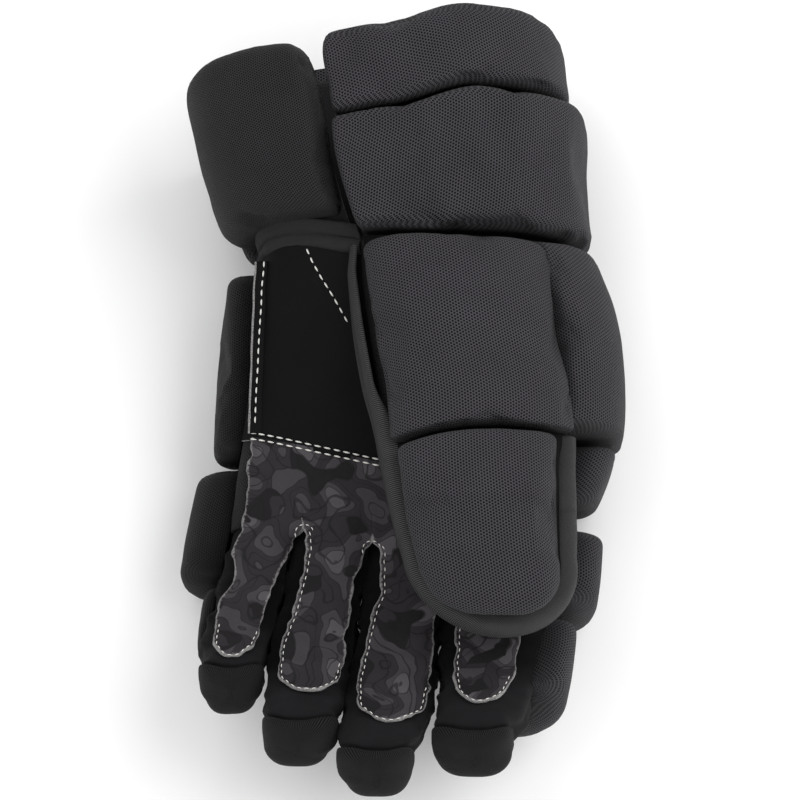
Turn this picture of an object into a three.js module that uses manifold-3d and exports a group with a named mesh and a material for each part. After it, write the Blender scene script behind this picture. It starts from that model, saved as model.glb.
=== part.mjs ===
// An ice hockey glove for the left hand, lying on its back with the palm up.
// Millimetres, +Z up. The fingers point along -Y, the cuff along +Y and the thumb is on the +X side.
//
// Every soft piece is built on a sleeve, a tube given by a table of sections: the cuff, the hand, the thumb
// and four fingers. A pad or sheet is a patch of its sleeve, lifted off it by the pieces that lie below.
import * as THREE from "three";
import Module from "manifold-3d";
import { mergeVertices } from "three/addons/utils/BufferGeometryUtils.js";

const wasm = await Module();
wasm.setup();

// Driving dimensions, in millimetres and degrees
const SEAM_GAP = 0.3; // between pieces that are sewn to each other
const PAD_GAP = 0.8; // between a pad and the sleeve it lies on
const LEATHER = 1.6; // palm sheets
const LINER_WALL = 2.6; // padded knit that the hand touches
const CUFF_LINING = 2.2;
const PANEL_WALL = 2.0; // stiff sheet that carries the thumb's pads
const BACK_PAD = 15.5; // foam on the back of the hand and fingers
const INDEX_KNUCKLE_PAD = 27.5;
const HAND_SIDE_PAD = 13; // on the pinky's side of the hand
const THUMB_SIDE_PAD = 23; // on the thumb's side of the hand
const CUFF_PAD = 14.8;
const CUFF_TOP_PAD = 10;
const FLAP_PAD = 15;
const THUMB_PAD = 13;
const REST_FLATTENING = 0.9; // how far the back pads flatten under the glove's weight

const HAND_LENGTH = 126; // wrist seam to finger roots
const HAND_DEPTH = 44; // at the finger roots
const PALM_SEAM = 95; // from the wrist seam to the middle of the seam across the palm
const PALM_SEAM_SLANT = 11;
const WRIST_ARCH = 5; // rise of the curved hem at the wrist
const WRIST_HEM = 10.5;
const HEM_START = 6.3; // how far the hem reaches up under the flap

const CUFF_LENGTH = 103;
const CUFF_WIDTH = 148;
const CUFF_DEPTH = 88;
const CUFF_TOP_ROLL = 39; // length of the end roll along the arm
const TOP_ROLL_DROP = 14.5; // how much lower it is beside the slit
const TOP_ROLL_BACK_DROP = 9; // and at its other end
const FLAP_TOP = 87; // from the wrist seam to the flap's top at the slit
const FLAP_SLOPE = 15; // drop of that edge across the flap
const FLAP_BOTTOM = 7.5; // from the wrist seam to its lower edge at the slit
const FLAP_BOTTOM_DROP = 5; // how much lower that edge is on the far side
const CUFF_SLIT_AT = 104; // angle of the slit between the rolls and the flap
const CUFF_SLIT = 3; // its width, in degrees round the cuff

const THUMB_LENGTH = 145; // to where its round tip begins
const THUMB_WIDTH = 99;
const THUMB_DEPTH = 38;
const THUMB_TIP = 30;
const THUMB_LEAN = 0.17; // how far its tip leans outwards, as a share of the tip's length
const THUMB_HOLE = 46;
const THUMB_PADDING = 4; // between the thumb's cavity and its faces
const THUMB_STANDOFF = 20; // gap between the thumb's tip and the palm
const THUMB_ROLL = 8;
const THUMB_SEAM = 0.618; // between its two pads, as a share of its length
const THUMB_SEAM_DROP = 0.045; // how much further down that seam is on the palm's side
const BINDING_WIDTH = 9;
const BINDING_DEPTH = 25;

const FINGER_DEPTH = 33;
const FINGER_TIP = 13;
const FINGER_CURL = 36; // from root to tip
const FINGER_SLANT = 0.12; // sideways drift of the middle finger over its length
const WEB_GAP = 1.2;
const STALL_WALL = 2.0;
const TIP_CAP = 2.0;
const STRIP_EDGE = 38; // angle at which a palm strip ends on its finger

// The fingers, from the thumb's side. reach: length along the curve, tip included. taper: width at the tip
// over width at the root. spread: extra distance from the neighbour nearer the middle finger, at the tip.
// strip, cap: where its palm strip ends and its tip cap begins, as shares of its length.
const FINGERS = [
  { name: "index", reach: 117, width: 40, taper: 0.84, spread: 5, strip: 0.93, cap: 0.96 },
  { name: "middle", reach: 127, width: 34, taper: 0.86, spread: 0, strip: 0.93, cap: 0.96 },
  { name: "ring", reach: 112, width: 33, taper: 0.9, spread: 0, strip: 0.92, cap: 0.95 },
  { name: "pinky", reach: 86, width: 29, taper: 0.82, spread: -1, strip: 0.94, cap: 0.97 },
];
// Their back pads: where the first begins, where the two meet and where the second ends, as shares of the
// finger's length, and the thickness of each on the finger's free side.
const FINGER_PADS = [
  { start: -0.03, joint: 0.36, end: 0.775, side: [28, 20] },
  { start: 0.03, joint: 0.42, end: 0.85, side: [0, 0] },
  { start: 0.03, joint: 0.42, end: 0.83, side: [0, 0] },
  { start: -0.43, joint: 0.31, end: 0.77, side: [20, 6] },
];
const INDEX = 0;
const MIDDLE = 1;
const PINKY = 3;

const RAD = Math.PI / 180;
const KNUCKLE_WIDTH =
  FINGERS.reduce((sum, f) => sum + f.width, 0) + (FINGERS.length - 1) * WEB_GAP;
const BACK_HEIGHT = BACK_PAD + SEAM_GAP - REST_FLATTENING; // back of the hand above the floor

// Section tables. along: share of the sleeve's length. The other columns are shares of the sizes named in
// each sleeve.
const HAND_SECTIONS = [
  { along: 0.0, shift: 0.04, width: 0.94, depth: 1.62 },
  { along: 0.26, shift: 0.045, width: 1.0, depth: 1.5 },
  { along: 0.55, shift: 0.02, width: 1.01, depth: 1.24 },
  { along: 0.8, shift: -0.02, width: 1.01, depth: 1.08 },
  { along: 1.0, shift: -0.045, width: 1.0, depth: 1.0 },
];
const CUFF_SECTIONS = [
  { along: 0.0, shift: 0.033, width: 0.89, depth: 0.81 },
  { along: 0.3, shift: -0.02, width: 0.94, depth: 0.93 },
  { along: 0.6, shift: -0.045, width: 0.99, depth: 0.99 },
  { along: 0.8, shift: -0.07, width: 0.97, depth: 1.0 },
  { along: 1.0, shift: -0.07, width: 0.95, depth: 0.99 },
];
// clear: height of the thumb's underside over the palm, as a share of THUMB_STANDOFF
const THUMB_SECTIONS = [
  { along: 0.0, shift: 0.15, width: 0.825, depth: 1.0, clear: -1.5 },
  { along: 0.3, shift: 0.188, width: 0.81, depth: 0.98, clear: -0.85 },
  { along: 0.5, shift: 0.227, width: 0.815, depth: 0.94, clear: -0.2 },
  { along: 0.75, shift: 0.25, width: 0.768, depth: 0.88, clear: 0.55 },
  { along: 1.0, shift: 0.281, width: 0.679, depth: 0.78, clear: 1.0 },
];

// Value of one column of a section table, on a smooth curve through the rows.
function column(table, key, t) {
  const last = table.length - 1;
  if (t <= 0) return table[0][key];
  if (t >= 1) return table[last][key];
  let i = 0;
  while (table[i + 1].along < t) i++;
  const slope = (k) => {
    const a = table[Math.max(k - 1, 0)];
    const b = table[Math.min(k + 1, last)];
    return (b[key] - a[key]) / (b.along - a.along);
  };
  const span = table[i + 1].along - table[i].along;
  const x = (t - table[i].along) / span;
  const rise = table[i + 1][key] - table[i][key];
  const m0 = slope(i) * span;
  const m1 = slope(i + 1) * span;
  const start = table[i][key];
  return start + x * (m0 + x * (3 * rise - 2 * m0 - m1 + x * (m0 + m1 - 2 * rise)));
}

const DISTAL = new THREE.Vector3(0, -1, 0);
const ACROSS = new THREE.Vector3(1, 0, 0);
const UP = new THREE.Vector3(0, 0, 1);

// A sleeve's section(t) gives its centre, its three directions, its half sizes and the roundness power of
// its outline. tip is the length of its round end, past t = 1, and blunt how fast that end gets thinner.
const hand = {
  tip: 0,
  section(t) {
    const depth = column(HAND_SECTIONS, "depth", t) * HAND_DEPTH;
    const shift = column(HAND_SECTIONS, "shift", t) * KNUCKLE_WIDTH;
    return {
      centre: new THREE.Vector3(shift, -t * HAND_LENGTH, BACK_HEIGHT + depth / 2),
      across: ACROSS,
      up: UP,
      along: DISTAL,
      halfWidth: (column(HAND_SECTIONS, "width", t) * KNUCKLE_WIDTH) / 2,
      halfDepth: depth / 2,
      power: 3 + t,
    };
  },
};

const cuff = {
  tip: 0,
  section(t) {
    const depth = column(CUFF_SECTIONS, "depth", t) * CUFF_DEPTH;
    const shift = column(CUFF_SECTIONS, "shift", t) * CUFF_WIDTH;
    return {
      centre: new THREE.Vector3(shift, t * CUFF_LENGTH, BACK_HEIGHT + depth / 2),
      across: ACROSS,
      up: UP,
      along: DISTAL.clone().negate(),
      halfWidth: (column(CUFF_SECTIONS, "width", t) * CUFF_WIDTH) / 2,
      halfDepth: depth / 2,
      power: 2.7,
    };
  },
};

// Half depth of a section at a distance x from its middle.
function halfDepthAt(section, x) {
  const share = Math.min(Math.abs(x) / section.halfWidth, 0.98);
  return section.halfDepth * (1 - share ** section.power) ** (1 / section.power);
}

// Fingers stand side by side: each one's root and tip are placed from its neighbour nearer the middle one.
function fingerPlace(index) {
  const finger = FINGERS[index];
  const rootLeft = hand.section(1).centre.x - KNUCKLE_WIDTH / 2;
  const before = FINGERS.slice(index + 1).reduce((sum, f) => sum + f.width + WEB_GAP, 0);
  const rootX = rootLeft + before + finger.width / 2;
  const step = Math.sign(index - MIDDLE);
  if (step === 0) return { rootX, tipX: rootX - FINGER_SLANT * finger.reach };
  const next = FINGERS[index - step];
  const widths = (finger.width * finger.taper + next.width * next.taper) / 2;
  const between = widths + 2 * TIP_CAP + 3 * SEAM_GAP + WEB_GAP + finger.spread;
  return { rootX, tipX: fingerPlace(index - step).tipX - step * between };
}

function fingerSleeve(index) {
  const finger = FINGERS[index];
  const { rootX, tipX } = fingerPlace(index);
  const root = hand.section(1);
  const length = finger.reach - FINGER_TIP;
  const rootDepth = halfDepthAt(root, rootX - root.centre.x);
  const full = FINGER_CURL * RAD;
  return {
    tip: FINGER_TIP,
    blunt: 0.75,
    length,
    section(t) {
      const bend = Math.max(t, 0) * full;
      const forward = t > 0 ? (Math.sin(bend) / full) * length : t * length;
      const rise = t > 0 ? ((1 - Math.cos(bend)) / full) * length : 0;
      const narrow = THREE.MathUtils.smoothstep(t, 0, 0.6);
      const taper = THREE.MathUtils.lerp(1, finger.taper, THREE.MathUtils.smoothstep(t, 0.4, 1));
      const y = -HAND_LENGTH - SEAM_GAP - forward;
      return {
        centre: new THREE.Vector3(THREE.MathUtils.lerp(rootX, tipX, t), y, root.centre.z + rise),
        across: ACROSS,
        up: new THREE.Vector3(0, Math.sin(bend), Math.cos(bend)),
        along: new THREE.Vector3(0, -Math.cos(bend), Math.sin(bend)),
        halfWidth: (finger.width / 2) * taper,
        halfDepth: THREE.MathUtils.lerp(rootDepth, FINGER_DEPTH / 2, narrow),
        power: 3.2,
      };
    },
  };
}
const fingers = FINGERS.map((_, index) => fingerSleeve(index));

// Height of the palm side over the floor at a place along the hand or the index finger.
function palmHeight(y) {
  const sleeve = y > -HAND_LENGTH ? hand : fingers[INDEX];
  const t = y > -HAND_LENGTH ? -y / HAND_LENGTH : (-y - HAND_LENGTH) / sleeve.length;
  const s = sleeve.section(Math.min(t, 1));
  return s.centre.z + s.halfDepth;
}

const THUMB_ROOT = SEAM_GAP + 2; // start of the thumb below the wrist seam
const thumb = {
  tip: THUMB_TIP,
  blunt: 0.45,
  section(t) {
    const y = -THUMB_ROOT - t * THUMB_LENGTH;
    const halfDepth = (column(THUMB_SECTIONS, "depth", t) * THUMB_DEPTH) / 2;
    const clear = column(THUMB_SECTIONS, "clear", t) * THUMB_STANDOFF;
    const x = column(THUMB_SECTIONS, "shift", t) * KNUCKLE_WIDTH;
    const roll = THUMB_ROLL * RAD * (1 - 0.7 * THREE.MathUtils.smoothstep(t, 0.4, 1));
    return {
      centre: new THREE.Vector3(x, y, palmHeight(y) + clear + halfDepth),
      across: new THREE.Vector3(Math.cos(roll), 0, -Math.sin(roll)),
      up: new THREE.Vector3(Math.sin(roll), 0, Math.cos(roll)),
      along: new THREE.Vector3(THUMB_LEAN, -1, 0).normalize(),
      halfWidth: (column(THUMB_SECTIONS, "width", t) * THUMB_WIDTH) / 2,
      halfDepth,
      power: 2.5,
    };
  },
};
// The thumb's cavity is narrower than the padded spade round it.
const thumbCavity = {
  tip: THUMB_TIP - 2 * THUMB_PADDING,
  blunt: 0.6,
  section(t) {
    const s = thumb.section(t);
    return { ...s, halfWidth: THUMB_HOLE / 2, halfDepth: s.halfDepth - THUMB_PADDING, power: 2.2 };
  },
};

// A point of a sleeve. u runs from 0 to 1 along it and from 1 to 2 round its tip, angle turns from +X over
// the palm side, and lift is the distance off the sleeve. left and right: the same, measured sideways.
function pointOn(sleeve, u, angle, lift, left = lift, right = lift) {
  const s = sleeve.section(sleeve.tip ? Math.min(u, 1) : u);
  const bend = sleeve.tip ? (Math.max(u - 1, 0) * Math.PI) / 2 : 0;
  const shrink = Math.max(Math.cos(bend), 0.02);
  const c = Math.cos(angle * RAD);
  const n = Math.sin(angle * RAD);
  const sideLift = c > 0 ? right : left;
  const across = Math.sign(c) * Math.abs(c) ** (2 / s.power) * (s.halfWidth + sideLift);
  const up = Math.sign(n) * Math.abs(n) ** (2 / s.power) * (s.halfDepth + lift);
  const p = s.centre
    .clone()
    .addScaledVector(s.across, across * shrink)
    .addScaledVector(s.up, up * (sleeve.tip ? shrink ** sleeve.blunt : 1))
    .addScaledVector(s.along, (sleeve.tip + lift) * Math.sin(bend));
  return p;
}

// A closed solid through rings of points. Each end ring is closed by zipping its two halves together.
function loft(rings) {
  const count = rings[0].length;
  const position = rings.flat().flatMap((p) => [p.x, p.y, p.z]);
  const index = [];
  const quad = (a, b, c, d) => index.push(a, b, c, a, c, d);
  for (let i = 0; i + 1 < rings.length; i++) {
    for (let k = 0; k < count; k++) {
      const next = (k + 1) % count;
      quad(i * count + k, i * count + next, (i + 1) * count + next, (i + 1) * count + k);
    }
  }
  const last = (rings.length - 1) * count;
  for (let k = 0; k + 1 < count / 2; k++) {
    const far = count - 1 - k;
    quad(k, far, far - 1, k + 1);
    quad(last + k, last + k + 1, last + far - 1, last + far);
  }
  const geometry = new THREE.BufferGeometry();
  geometry.setAttribute("position", new THREE.Float32BufferAttribute(position, 3));
  geometry.setIndex(index);
  return geometry;
}

// The same surface as a manifold-3d solid, turned inside out if it faces in.
function solidOf(geometry) {
  const merged = mergeVertices(geometry, 1e-4);
  const vertProperties = merged.attributes.position.array;
  const triVerts = new Uint32Array(merged.index.array);
  const make = () => new wasm.Manifold(new wasm.Mesh({ numProp: 3, vertProperties, triVerts }));
  const made = make();
  if (made.volume() > 0) return made;
  for (let i = 0; i < triVerts.length; i += 3) {
    [triVerts[i + 1], triVerts[i + 2]] = [triVerts[i + 2], triVerts[i + 1]];
  }
  return make();
}

function geometryOf(solid) {
  const mesh = solid.getMesh();
  const position = new Float32Array(mesh.numVert * 3);
  for (let i = 0; i < mesh.numVert; i++) {
    position.set(mesh.vertProperties.subarray(i * mesh.numProp, i * mesh.numProp + 3), i * 3);
  }
  const geometry = new THREE.BufferGeometry();
  geometry.setAttribute("position", new THREE.BufferAttribute(position, 3));
  geometry.setIndex(new THREE.BufferAttribute(mesh.triVerts, 1));
  geometry.computeVertexNormals();
  return geometry;
}

// The inside of a sleeve as a solid, grown by lift, over a list of places along it.
function coreOver(sleeve, stations, lift, columns) {
  const rings = stations.map((u) =>
    Array.from({ length: columns }, (_, k) => pointOn(sleeve, u, ((k + 0.5) * 360) / columns, lift)),
  );
  return solidOf(loft(rings));
}

const steps = (from, to, count) =>
  Array.from({ length: count + 1 }, (_, i) => THREE.MathUtils.lerp(from, to, i / count));

const core = (sleeve, from, to, lift, rows, columns) =>
  coreOver(sleeve, steps(from, to, rows), lift, columns);

// How far round its tip a sleeve's solids go.
const TIP_END = 1.9;

// Places across a patch. crowd: how much closer together they are at its edges, where a pad turns down.
const places = (count, crowd) =>
  steps(0, 1, count).map((x) => x + crowd * (0.5 - 0.5 * Math.cos(x * Math.PI) - x));

// 0 at the edges of a patch and 1 over most of it.
const pillow = (x) => (1 - Math.abs(2 * x - 1) ** 4) ** 0.5;

const asFunction = (value) => (typeof value === "function" ? value : () => value);

// A patch of a sleeve with a thickness: a pad, a roll or a sheet. from, to: its ends along the sleeve, low,
// high: the angles of its sides, lift: height of its underside. Ends can be functions of the place across
// it, low one of the place along it, and thickness one of both. edge: thickness at its seams as a share, 1 on a flat
// sheet. round: roundness of the corners at from and at to. left, right: how much of its thickness goes
// sideways on each side, 0 where a neighbour leaves no room. floor: the height at which its underside is
// flattened.
function patch(sleeve, p) {
  const { high, lift, rows, columns, edge = 0.4, round = [0.25, 0.25] } = p;
  const { crowd = 0.8, left = 1, right = 1, floor = 0 } = p;
  const from = asFunction(p.from);
  const to = asFunction(p.to);
  const low = asFunction(p.low);
  const thickness = asFunction(p.thickness);
  const rings = places(rows, crowd).map((s) => {
    const outer = [];
    const inner = [];
    for (const r of places(columns, crowd)) {
      const k = THREE.MathUtils.lerp(round[0], round[1], s);
      const x = 2 * s - 1;
      const y = 2 * r - 1;
      const along = (1 + x * Math.sqrt(1 - (k * y * y) / 2)) / 2;
      const beside = (1 + y * Math.sqrt(1 - (k * x * x) / 2)) / 2;
      const u = THREE.MathUtils.lerp(from(r), to(r), along);
      const angle = THREE.MathUtils.lerp(low(s), high, beside);
      const height = thickness(r, s) * (edge + (1 - edge) * pillow(s) * pillow(r));
      const aside = (share, h) => (share === 0 ? 0 : lift + share * h);
      const at = (h) => pointOn(sleeve, u, angle, lift + h, aside(left, h), aside(right, h));
      const top = at(height);
      outer.push(top.setZ(Math.max(top.z, floor)));
      inner.push(at(0));
    }
    return [...outer, ...inner.reverse()];
  });
  return solidOf(loft(rings));
}
const SHEET = { edge: 1, crowd: 0, round: [0, 0] };

// A bead that runs round a sleeve's rim: up its left side from u = start, round the tip and back along its
// right side to u = end. inset: how far its inner edge is from the rim, reach: how far its outer edge is.
function rimBead(sleeve, { start, end, inset, reach, depth, rows, tipRows, columns }) {
  const halfWidth = (inset + reach) / 2;
  const path = [
    ...steps(start, 1, rows).map((u) => ({ u, turn: 0 })),
    ...steps(0, 180, tipRows).slice(1, -1).map((turn) => ({ u: 1, turn })),
    ...steps(1, end, Math.ceil(rows / 2)).map((u) => ({ u, turn: 180 })),
  ];
  const rings = path.map(({ u, turn }) => {
    const s = sleeve.section(u);
    const side = -Math.cos(turn * RAD);
    const front = Math.sin(turn * RAD);
    const offset = reach - halfWidth;
    return Array.from({ length: columns }, (_, k) => {
      const a = ((k + 0.5) * 360) / columns;
      const c = Math.cos(a * RAD);
      const n = Math.sin(a * RAD);
      const out = offset + Math.sign(c) * Math.sqrt(Math.abs(c)) * halfWidth;
      const up = (Math.sign(n) * Math.sqrt(Math.abs(n)) * depth) / 2;
      return s.centre
        .clone()
        .addScaledVector(s.across, side * (s.halfWidth + out))
        .addScaledVector(s.along, front * (sleeve.tip + out))
        .addScaledVector(s.up, up);
    });
  });
  return solidOf(loft(rings));
}

const group = new THREE.Group();

function add(name, solid, finish) {
  const mesh = new THREE.Mesh(geometryOf(solid), new THREE.MeshStandardMaterial(finish));
  mesh.name = name;
  group.add(mesh);
}

const NYLON = { color: 0x343236, roughness: 0.85, metalness: 0 };
const KNIT = { color: 0x18181a, roughness: 0.9, metalness: 0 };
const SUEDE = { color: 0x17171a, roughness: 0.75, metalness: 0 };
const PRINTED = { color: 0x47454a, roughness: 0.7, metalness: 0 };
const TAPE = { color: 0x3f4143, roughness: 0.8, metalness: 0 };
const LINING = { color: 0x3a3b3e, roughness: 0.85, metalness: 0 };

const HAND_COLUMNS = 28;
const handStations = [-0.02, ...steps(0, 1, 6), 1.02];
const handBody = coreOver(hand, steps(0, 1, 6), 0, HAND_COLUMNS);
const handHollow = coreOver(hand, handStations, -LINER_WALL, HAND_COLUMNS);
const besideHand = coreOver(hand, handStations.slice(0, -1), SEAM_GAP, HAND_COLUMNS);
const belowSheet = coreOver(hand, handStations.slice(0, -1), LEATHER + 3 * SEAM_GAP, HAND_COLUMNS);
const thumbStations = [...steps(0, 1, 10), ...steps(1, TIP_END, 4).slice(1)];
const THUMB_COLUMNS = 16;
const thumbBody = coreOver(thumb, thumbStations, 0, THUMB_COLUMNS);
const besideThumb = coreOver(thumb, [-0.02, ...thumbStations], PANEL_WALL + 3 * SEAM_GAP, THUMB_COLUMNS);
const besideStall = coreOver(thumb, [-0.02, ...thumbStations], SEAM_GAP, THUMB_COLUMNS);

// Hand: a padded knit tube, open at the wrist, at the finger roots and into the thumb
const thumbOpening = core(thumbCavity, 0.12, 1, 0, 6, 14);
add("hand_liner", handBody.subtract(handHollow).subtract(thumbOpening), KNIT);

// Palm: an upper sheet with a curved hem at the wrist, and a lower one that runs on over the fingers
const PALM_SIDES = { low: 62, high: 166 };
const HEM_SIDES = { low: 109, high: 166 };
// Distance from the hem's upper edge up to the wrist seam, at an angle round the wrist
const hemEdge = (angle) => {
  const middle = (HEM_SIDES.low + HEM_SIDES.high) / 2;
  const side = (angle - middle) / (HEM_SIDES.high - middle);
  return HEM_START - WRIST_ARCH * Math.min(side * side, 1);
};
const across = (sides, r) => THREE.MathUtils.lerp(sides.low, sides.high, r);
const gapShare = (2 * SEAM_GAP) / HAND_LENGTH;
const LOWER_SIDES = { low: 24, high: PALM_SIDES.high };
const palmSeam = (angle) => {
  const place = (angle - PALM_SIDES.low) / (PALM_SIDES.high - PALM_SIDES.low);
  return (PALM_SEAM + PALM_SEAM_SLANT * (0.5 - place)) / HAND_LENGTH;
};
add(
  "wrist_hem",
  patch(cuff, {
    ...SHEET,
    ...HEM_SIDES,
    from: (r) => (hemEdge(across(HEM_SIDES, r)) - WRIST_HEM) / CUFF_LENGTH,
    to: (r) => hemEdge(across(HEM_SIDES, r)) / CUFF_LENGTH,
    lift: SEAM_GAP,
    thickness: 1.5 * LEATHER,
    edge: 0.6,
    rows: 3,
    columns: 12,
  })
    .subtract(besideHand)
    .subtract(besideThumb),
  TAPE,
);
add(
  "palm_upper",
  patch(hand, {
    ...SHEET,
    ...PALM_SIDES,
    from: (r) => (WRIST_HEM - hemEdge(across(PALM_SIDES, r))) / HAND_LENGTH + 2 * gapShare,
    to: (r) => palmSeam(across(PALM_SIDES, r)) - gapShare / 2,
    lift: SEAM_GAP,
    thickness: LEATHER,
    rows: 5,
    columns: 16,
  }).subtract(besideThumb),
  SUEDE,
);
const lowerSheet = patch(hand, {
  ...SHEET,
  ...LOWER_SIDES,
  from: (r) => palmSeam(across(LOWER_SIDES, r)) + gapShare / 2,
  to: 1,
  lift: SEAM_GAP,
  thickness: LEATHER,
  rows: 2,
  columns: 16,
});
const FINGER_COLUMNS = 12;
const FINGER_ROWS = 4;
const fingerStations = (i) => {
  const { cap } = FINGERS[i];
  return [...steps(0, cap, FINGER_ROWS), 1, ...steps(1, TIP_END, 3).slice(1)];
};
const strips = fingers.map((sleeve, i) =>
  patch(sleeve, {
    ...SHEET,
    low: STRIP_EDGE,
    high: 180 - STRIP_EDGE,
    from: -4 / sleeve.length,
    to: FINGERS[i].strip,
    lift: PAD_GAP + 0.2,
    thickness: LEATHER,
    round: [0, 0.35],
    rows: 6,
    columns: 5,
  }).subtract(besideHand),
);
add("palm_lower", strips.reduce((sum, strip) => sum.add(strip), lowerSheet), PRINTED);

// Hand pads: three rolls across the back, one down each side
const besideBasePad = patch(thumb, {
  low: 12,
  high: 160,
  from: -0.04,
  to: THUMB_SEAM + 0.03,
  lift: -1,
  thickness: PANEL_WALL + THUMB_PAD + 4,
  edge: 0.6,
  rows: 6,
  columns: 10,
});
const BACK_SIDES = { low: 240, high: 303 };
const BACK_ROLLS = [
  { name: "back_roll_wrist", from: 0.03, to: 0.335 },
  { name: "back_roll_middle", from: 0.35, to: 0.66 },
  { name: "back_roll_knuckle", from: 0.675, to: 0.985 },
];
for (const { name, from, to } of BACK_ROLLS) {
  const shape = { ...BACK_SIDES, from, to, lift: SEAM_GAP, thickness: BACK_PAD, rows: 6, columns: 6 };
  add(name, patch(hand, shape), NYLON);
}
const pinkyPadStart = 1 + (FINGER_PADS[PINKY].start * fingers[PINKY].length) / HAND_LENGTH;
add(
  "pinky_side_pad",
  patch(hand, {
    low: PALM_SIDES.high + 1,
    high: BACK_SIDES.low - 1.5,
    from: 0.06,
    to: pinkyPadStart - 0.015,
    lift: PAD_GAP,
    thickness: (r, s) => HAND_SIDE_PAD * (1.25 - 0.25 * s),
    rows: 7,
    columns: 7,
  }),
  NYLON,
);
add(
  "thumb_side_pad",
  patch(hand, {
    low: BACK_SIDES.high - 360 + 1.5,
    high: 56,
    from: 0.01,
    to: 0.69,
    lift: 1.2 * PAD_GAP,
    thickness: (r, s) => THUMB_SIDE_PAD * THREE.MathUtils.lerp(0.6, 1.3, s),
    round: [0.1, 0.05],
    rows: 7,
    columns: 9,
  })
    .subtract(besideThumb)
    .subtract(besideBasePad),
  NYLON,
);
add(
  "index_knuckle_pad",
  patch(hand, {
    low: BACK_SIDES.high - 360 + 1.5,
    high: 20,
    from: 0.705,
    to: 0.925,
    lift: PAD_GAP,
    thickness: (r, s) =>
      THREE.MathUtils.lerp(BACK_PAD, INDEX_KNUCKLE_PAD, Math.min(2 * r, 1)) * (1 - 0.2 * s),
    rows: 5,
    columns: 8,
  }).subtract(besideThumb),
  NYLON,
);

// Fingers: a knit stall, back pads and a tip cap each
const knuckleRoll = BACK_ROLLS[2];
const besideKnuckleRoll = patch(hand, {
  ...SHEET,
  low: BACK_SIDES.low - 1.5,
  high: BACK_SIDES.high,
  from: knuckleRoll.from - 0.1,
  to: 1,
  lift: -5,
  thickness: BACK_PAD + 15,
  rows: 1,
  columns: 6,
  floor: -30,
});
fingers.forEach((sleeve, i) => {
  const finger = FINGERS[i];
  const stations = fingerStations(i);
  const outer = coreOver(sleeve, stations, 0, FINGER_COLUMNS);
  const hollow = coreOver(sleeve, [-0.03, ...stations], -STALL_WALL, FINGER_COLUMNS);
  add(`${finger.name}_stall`, outer.subtract(hollow), KNIT);

  const tip = stations.slice(FINGER_ROWS);
  const capOuter = coreOver(sleeve, tip, SEAM_GAP + TIP_CAP, FINGER_COLUMNS);
  const capHollow = coreOver(sleeve, [finger.cap - 0.03, ...tip], SEAM_GAP, FINGER_COLUMNS);
  add(`${finger.name}_cap`, capOuter.subtract(capHollow), KNIT);

  // The outer fingers' pads run up round their free side
  const sides = { low: 213, high: 327, left: 0, right: 0 };
  if (i === INDEX) Object.assign(sides, { high: 372, right: 1 });
  if (i === PINKY) Object.assign(sides, { low: 166, left: 1 });
  const pads = FINGER_PADS[i];
  const thickness = (back, side) => (r) => {
    if (i === INDEX) return THREE.MathUtils.lerp(back, side, Math.min(2 * r, 1));
    if (i === PINKY) return THREE.MathUtils.lerp(side, back, Math.max(2 * r - 1, 0));
    return back;
  };
  const shape = { ...sides, lift: PAD_GAP, rows: 5, columns: i === INDEX || i === PINKY ? 8 : 6 };
  const proximal = patch(sleeve, {
    ...shape,
    from: pads.start,
    to: pads.joint - 0.008,
    thickness: thickness(BACK_PAD, pads.side[0]),
  });
  const clear = pads.start < 0 ? proximal.subtract(besideHand).subtract(besideKnuckleRoll) : proximal;
  add(`${finger.name}_pad_proximal`, clear, NYLON);
  const distal = patch(sleeve, {
    ...shape,
    from: pads.joint + 0.008,
    to: pads.end,
    thickness: thickness(0.8 * BACK_PAD, pads.side[1]),
  });
  add(`${finger.name}_pad_distal`, distal, NYLON);
});

// The thumb: a padded spade with a round cavity, cut off where it meets the hand
const thumbHollow = coreOver(thumbCavity, [-0.02, ...thumbStations], 0, 14);
add("thumb_stall", thumbBody.subtract(thumbHollow).subtract(belowSheet), KNIT);
const panelLift = PAD_GAP + PANEL_WALL + PAD_GAP;
const panelSide = (u) =>
  THREE.MathUtils.lerp(22, 38, THREE.MathUtils.smoothstep(u, THUMB_SEAM - 0.1, THUMB_SEAM + 0.1));
const PANEL_END = 1.6;
const PANEL = { low: (s) => panelSide(s * PANEL_END), high: 151.5, to: PANEL_END, round: [0, 0.5] };
const thumbSeam = (r) => THUMB_SEAM + THUMB_SEAM_DROP * THREE.MathUtils.smoothstep(r, 0.45, 1);
add(
  "thumb_panel",
  patch(thumb, {
    ...SHEET,
    ...PANEL,
    from: 0,
    lift: PAD_GAP,
    thickness: PANEL_WALL,
    rows: 16,
    columns: 10,
  }),
  TAPE,
);
add(
  "thumb_base_pad",
  patch(thumb, {
    low: 24,
    high: 150,
    from: (r) => 0.005 + 0.03 * Math.abs(2 * r - 1) ** 3,
    to: (r) => thumbSeam(r) - 0.006,
    lift: panelLift,
    right: 0.3,
    left: 0.4,
    thickness: THUMB_PAD,
    round: [0.02, 0.02],
    rows: 7,
    columns: 9,
  }),
  NYLON,
);
add(
  "thumb_tip_pad",
  patch(thumb, {
    low: 43,
    high: 138,
    from: (r) => thumbSeam(r) + 0.006,
    to: 1.52,
    lift: panelLift,
    right: 0.1,
    left: 0.4,
    thickness: THUMB_PAD,
    round: [0.02, 0.5],
    rows: 8,
    columns: 9,
  }),
  NYLON,
);
const bead = rimBead(thumb, {
  start: 0.02,
  end: 0.62,
  inset: BINDING_WIDTH / 2,
  reach: BINDING_WIDTH / 2,
  depth: BINDING_DEPTH,
  rows: 7,
  tipRows: 9,
  columns: 8,
});
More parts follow.
